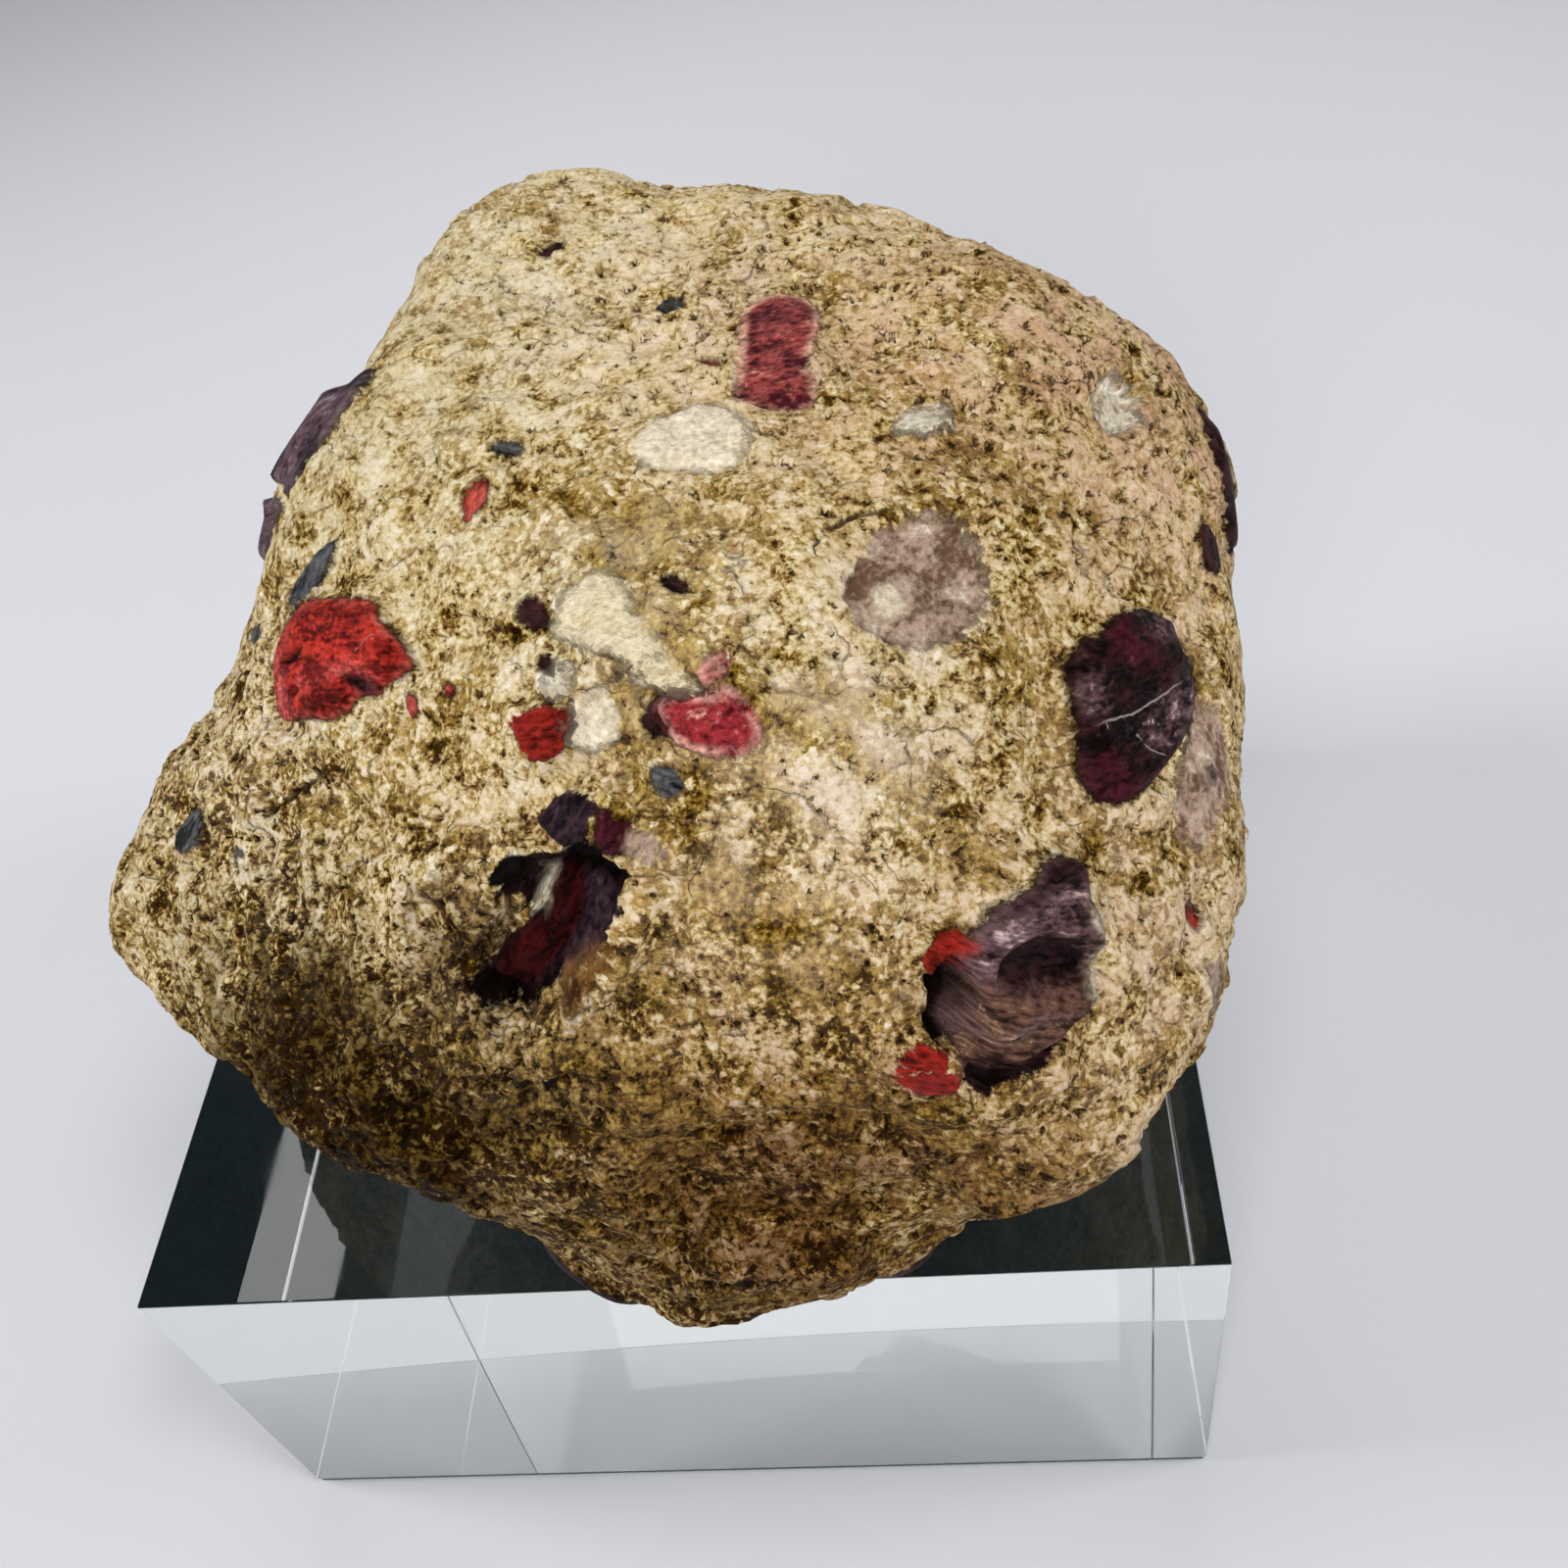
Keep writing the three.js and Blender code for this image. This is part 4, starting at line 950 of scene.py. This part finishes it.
def pebbleColour(add, read):
    faceTone = add("SeparateXYZ", {}, {0: read["tilt"]})
    faceShare = add("Math MULTIPLY", {}, {0: (faceTone, "X"), 1: read["facet"]})
    mottle = add("Math MULTIPLY_ADD", {1: flesh["streakShare"]}, {0: read["streak"], 2: read["blotch"]})
    mottle = add("Math MULTIPLY_ADD", {1: flesh["faceShare"]}, {0: faceShare, 2: mottle})
    mottle = add("Math SUBTRACT", {1: flesh["streakShare"] / 2}, {0: mottle})
    darkEdge = add("MapRange", {"To Min": 0.3, "To Max": 0.7}, {"Value": read["darkShare"]})
    darkMottle = add("Math SUBTRACT", {}, {0: darkEdge, 1: mottle})
    darkMottle = add("MapRange", {"From Min": -0.12, "From Max": 0.14, "interpolation_type": "SMOOTHSTEP"},
                 {"Value": darkMottle})
    body = add("Mix", {"data_type": "RGBA"}, {"Factor": darkMottle, "A": read["main"], "B": read["dark"]})

    # the pale bruises: where it is mottled, on its rim, and in flecks
    paleEdge = add("MapRange", {"To Min": 0.85, "To Max": 0.35}, {"Value": read["paleShare"]})
    bruise = add("Math SUBTRACT", {}, {0: mottle, 1: paleEdge})
    bruise = add("MapRange", {"From Min": -0.06, "From Max": 0.2, "To Max": 0.9,
                              "interpolation_type": "SMOOTHSTEP"}, {"Value": bruise})
    rimBand = add("MapRange", {"From Min": -0.8, "From Max": -0.1, "interpolation_type": "SMOOTHSTEP"},
                  {"Value": read["own"]})
    rimPatch = add("MapRange", {"From Min": 0.38, "From Max": 0.56}, {"Value": read["blotch"]})
    rim = add("Math MULTIPLY", {}, {0: rimBand, 1: read["rim"]})
    rim = add("Math MULTIPLY", {}, {0: rim, 1: rimPatch})
    fleck = add("MapRange", {"From Min": 0.6, "From Max": 0.7, "To Max": 0.8}, {"Value": read["tooth"]})
    fleck = add("Math MULTIPLY", {}, {0: fleck, 1: read["veins"]})
    bruise = add("Math MAXIMUM", {}, {0: bruise, 1: rim})
    bruise = add("Math MAXIMUM", {}, {0: bruise, 1: fleck})
    body = add("Mix", {"data_type": "RGBA"}, {"Factor": bruise, "A": body, "B": read["pale"]})

    # fine cracks, grit and veins
    crack = add("MapRange", {"From Min": 0.4, "From Max": 0.32}, {"Value": read["tooth"]})
    crack = add("Math MULTIPLY", {}, {0: crack, 1: read["cracks"]})
    body = add("Mix", {"data_type": "RGBA", "B": linear(flesh["crack"])}, {"Factor": crack, "A": body})
    grit = add("Math", {}, {0: read["streak"], 1: read["tooth"]})
    grit = add("Math SUBTRACT", {1: 1.0}, {0: grit})
    gritShare = add("MapRange", {"To Min": 2.3, "To Max": 0.2}, {"Value": read["blend"]})
    brightness = add("Math MULTIPLY_ADD", {2: 1.0}, {0: grit, 1: gritShare})
    body = add("HueSaturation", {}, {"Value": brightness, "Color": body})
    vein = lineMask(add, read["paleVein"], read["streak"], flesh["veinWander"])
    vein = add("Math MULTIPLY", {1: flesh["veinShare"]}, {0: vein})
    return add("Mix", {"data_type": "RGBA", "B": linear(flesh["vein"])}, {"Factor": vein, "A": body})


def stoneHeight(add, read, matrix, seam):  # in mm: grains, tooth, ledges and holes, and the faces of pebbles
    dome = add("Math POWER", {1: 2.0}, {0: read["grainEdge"]})
    step = add("MapRange", {"From Min": 0.5, "From Max": 0.512}, {"Value": read["shelf"]})
    sandHeight = add("Math MULTIPLY", {1: grains["toothHeight"]}, {0: read["tooth"]})
    for source, height in ((dome, -grains["domeHeight"]), (step, grains["ledgeHeight"]),
                           (read["pit"], -grains["pitDepth"]), (read["crack"], -grains["crackDepth"])):
        sandHeight = add("Math MULTIPLY_ADD", {1: height}, {0: source, 2: sandHeight})
    fromMiddle = add("VectorMath SUBTRACT", {}, {0: read["spot"], 1: read["faceMiddle"]})
    lean = add("VectorMath DOT_PRODUCT", {}, {0: fromMiddle, 1: read["tilt"]})
    lean = add("Math MULTIPLY", {1: flesh["fractureSlope"] / mm}, {0: (lean, "Value")})
    pebbleHeight = add("Math MULTIPLY", {}, {0: lean, 1: read["facet"]})
    for name, height in (("blotch", 1), ("streak", 0.15), ("tooth", 0.2)):
        pebbleHeight = add("Math MULTIPLY_ADD", {1: height}, {0: read[name], 2: pebbleHeight})
    height = add("Mix", {}, {"Factor": matrix, "A": pebbleHeight, "B": sandHeight})
    return add("Math MULTIPLY_ADD", {1: -flesh["seamDepth"]}, {0: seam, 2: height})


def conglomerateMaterial():
    # Conglomerate: sand cemented round pebbles, worn by water and left matt, with glints from broken grains.
    material, add = newMaterial("cemented_sand_and_jasper_pebbles")
    read = readStone(add)
    read["tooth"], read["pit"], matrix, ragged = toothNodes(add, read)
    read.update(readGrains(add, read))
    colour, level = sandColour(add, read)
    read["crack"] = sandCracksAndShelfShadows(add, read)
    # painted shade in the pits and at the foot of the shelves, with the dark cracks
    shadedHole = add("Math MAXIMUM", {}, {0: read["crack"], 1: read["pit"]})
    shadedHole = add("Math MULTIPLY", {1: grains["shadedHoleShare"]}, {0: shadedHole})
    colour = add("Mix", {"data_type": "RGBA", "B": linear(grains["shadedHoles"])}, {"Factor": shadedHole, "A": colour})
    read.update(readFlesh(add, read))
    colour = add("Mix", {"data_type": "RGBA"}, {"Factor": matrix, "A": pebbleColour(add, read), "B": colour})
    # painted shade in the narrow gap where the sand meets a pebble; the same mask cuts a shallow groove there
    offShadedGap = add("Math ABSOLUTE", {}, {0: ragged})
    seam = add("MapRange", {"From Min": 0.28, "From Max": 0.06, "To Max": 1.2}, {"Value": offShadedGap})
    seam = add("Math MULTIPLY", {"use_clamp": True}, {0: seam, 1: read["seam"]})
    colour = add("Mix", {"data_type": "RGBA", "B": linear(flesh["seam"])}, {"Factor": seam, "A": colour})
    bump = add("Bump", {"Distance": mm, "Strength": 1.0}, {"Height": stoneHeight(add, read, matrix, seam)})
    glint = add("MapRange", {"From Min": 0.75, "From Max": 0.9, "To Min": 0.85, "To Max": 0.35},
                {"Value": level})
    pebbleRough = add("MapRange", {"To Min": 0.8, "To Max": 0.35}, {"Value": read["gloss"]})
    roughness = add("Mix", {}, {"Factor": matrix, "A": pebbleRough, "B": glint})
    surface = add("BsdfPrincipled", {"IOR": 1.5, "Specular IOR Level": 0.2},
                  {"Base Color": colour, "Roughness": roughness, "Normal": bump})
    add("OutputMaterial", {}, {"Surface": surface})
    return material


# ---- the block, its arrises only just broken, and the sheet under it, cut a hair inside the block's edges
block = {"arris": 0.15, "tint": "#fafcfc", "smudge": 14, "smudges": (0.45, 0.75), "smudgeRoughness": 0.05}
sheet = {"inset": 0.25, "arris": 0.05, "gap": 0.05, "tones": [(0.3, "#213338"), (0.7, "#2b4047")],
         "grain": 0.6, "grainHeight": 0.05, "roughness": 0.45}


def acrylicMaterial():
    # Cast acrylic, flame polished: water clear, bright mirror edges, the faintest cool body colour.
    material, add = newMaterial("cast_acrylic_polished")
    place = add("TexCoord")
    smudge = add("TexNoise", {"Scale": 1 / (block["smudge"] * mm), "Detail": 4.0},
                 {"Vector": (place, "Object")})
    low, high = block["smudges"]
    roughness = add("MapRange", {"From Min": low, "From Max": high, "To Min": 0.0,
                                 "To Max": block["smudgeRoughness"]}, {"Value": smudge})
    surface = add("BsdfPrincipled", {"Base Color": linear(block["tint"]), "Transmission Weight": 1.0,
                                     "IOR": 1.49}, {"Roughness": roughness})
    add("OutputMaterial", {}, {"Surface": surface})
    return material


def sheetMaterial():
    # Black vinyl sheet, calendered: deep blue-black with a satin face and a faint pebbled grain.
    material, add = newMaterial("black_vinyl_calendered")
    place = add("TexCoord")
    grain = add("TexNoise", {"Scale": 1 / (sheet["grain"] * mm), "Detail": 3.0},
                {"Vector": (place, "Object")})
    shade = add("ValToRGB", {"stops": sheet["tones"]}, {0: grain})
    bump = add("Bump", {"Distance": sheet["grainHeight"] * mm}, {"Height": grain})
    surface = add("BsdfPrincipled", {"Roughness": sheet["roughness"]}, {"Base Color": shade, "Normal": bump})
    add("OutputMaterial", {}, {"Surface": surface})
    return material


def makeBox(name, low, high, arris):
    box = bmesh.new()
    bmesh.ops.create_cube(box, size=1)
    bmesh.ops.scale(box, verts=box.verts, vec=high - low)
    bmesh.ops.translate(box, verts=box.verts, vec=(low + high) / 2)
    bmesh.ops.bevel(box, geom=box.edges[:], offset=arris * mm, segments=2, profile=0.5, affect="EDGES",
                    material=-1)
    return shapeFrom(box, name)


def makeStand():
    low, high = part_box("acrylic_block")
    inset = Vector((sheet["inset"], sheet["inset"], 0)) * mm
    top = low.z - sheet["gap"] * mm
    sheetLow = Vector((low.x, low.y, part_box("black_sheet")[0].z)) + inset
    sheetHigh = Vector((high.x, high.y, top)) - inset
    return (makeBox("acrylic_block_polished", low, high, block["arris"]),
            makeBox("black_sheet_cut", sheetLow, sheetHigh, sheet["arris"]))


# ---- stage: a seamless pale sweep and soft light
stage = {"drop": 0.2, "front": -900, "back": 520, "curve": 200, "curveSteps": 16, "height": 520,
         "halfWidth": 1400, "paper": "#c3c4c9", "roughness": 0.9, "glow": "#e6e9ea", "glowStrength": 0.96}


def backdropMaterial():
    # Matt seamless paper: an even pale grey.
    material, add = newMaterial("seamless_paper_matt")
    surface = add("BsdfPrincipled", {"Base Color": linear(stage["paper"]), "Roughness": stage["roughness"]})
    add("OutputMaterial", {}, {"Surface": surface})
    return material


def makeBackdrop():
    sweep = bmesh.new()
    low = -stage["drop"]
    profile = [(stage["front"], low), (stage["back"], low)]
    for step in range(1, stage["curveSteps"] + 1):
        angle = math.pi / 2 * step / stage["curveSteps"]
        profile.append((stage["back"] + stage["curve"] * math.sin(angle),
                        low + stage["curve"] * (1 - math.cos(angle))))
    profile.append((stage["back"] + stage["curve"], stage["height"]))
    left = [sweep.verts.new((-stage["halfWidth"] * mm, y * mm, z * mm)) for y, z in profile]
    edges = [sweep.edges.new(pair) for pair in zip(left, left[1:])]
    drawn = bmesh.ops.extrude_edge_only(sweep, edges=edges)
    moved = [v for v in drawn["geom"] if isinstance(v, bmesh.types.BMVert)]
    bmesh.ops.translate(sweep, verts=moved, vec=(2 * stage["halfWidth"] * mm, 0, 0))
    bmesh.ops.recalc_face_normals(sweep, faces=sweep.faces)
    backdrop = shapeFrom(sweep, "backdrop")
    backdrop.data.shade_smooth()
    backdrop.data.materials.append(backdropMaterial())


# name, place, aimed at, width, depth, watts, and what it shows in: the stone, or only as a mirrored shape in
# the acrylic
lights = [
    ("back softbox", (0, 367, 720), (0, -8, 70), 180, 180, 0.5, "stone"),
    ("right softbox", (650, -8, 445), (0, -8, 70), 240, 240, 2.2, "stone"),
    ("front right softbox", (325, -195, 720), (0, -8, 70), 140, 140, 1.75, "stone"),
    ("left softbox", (-650, -8, 445), (0, -8, 70), 240, 240, 3.8, "stone"),
    ("front fill", (-40, -640, 440), (0, -8, 70), 300, 300, 4.2, "stone"),
    ("low back light", (0, 330, 300), (0, 150, 0), 300, 100, 0.38, "stone"),
    ("strip", (-483, 440, 900), (-483, 440, 0), 72, 270, 0.28, "acrylic"),
]


def makeLights():
    for name, place, target, width, depth, watts, shownIn in lights:
        lamp = bpy.data.lights.new(name, "AREA")
        lamp.shape = "RECTANGLE"
        lamp.size = width * mm
        lamp.size_y = depth * mm
        lamp.energy = watts
        shown = bpy.data.objects.new(name, lamp)
        aim = (Vector(target) - Vector(place)).to_track_quat("-Z", "Y")
        shown.matrix_world = Matrix.Translation(Vector(place) * mm) @ aim.to_matrix().to_4x4()
        shown.visible_diffuse = shownIn != "acrylic"
        shown.visible_glossy = shownIn == "acrylic"
        shown.visible_transmission = False
        scene.collection.objects.link(shown)
    world = bpy.data.worlds.new("studio")
    world.use_nodes = True
    world.node_tree.nodes.clear()
    glow = addNode(world.node_tree, "Background",
                   {"Color": linear(stage["glow"]), "Strength": stage["glowStrength"]})
    addNode(world.node_tree, "OutputWorld", {}, {"Surface": glow})
    world.cycles_visibility.diffuse = False  # it is only what shows through the acrylic
    world.cycles_visibility.glossy = False
    scene.world = world
    scene.view_settings.view_transform = "Standard"


makeBackdrop()
makeLights()
print("stage and lights made")

cobble = makeStone()
cobble.data.materials.clear()
cobble.data.materials.append(conglomerateMaterial())
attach(cobble, "root")
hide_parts("puddingstone")

stand = zip(makeStand(), (acrylicMaterial(), sheetMaterial()), ("acrylic_block", "black_sheet"),
            ("clear_acrylic", "black_vinyl"))
for piece, material, node, slotName in stand:
    piece.data.materials.append(material)
    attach(piece, "root")
    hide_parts(node)
print("materials given")
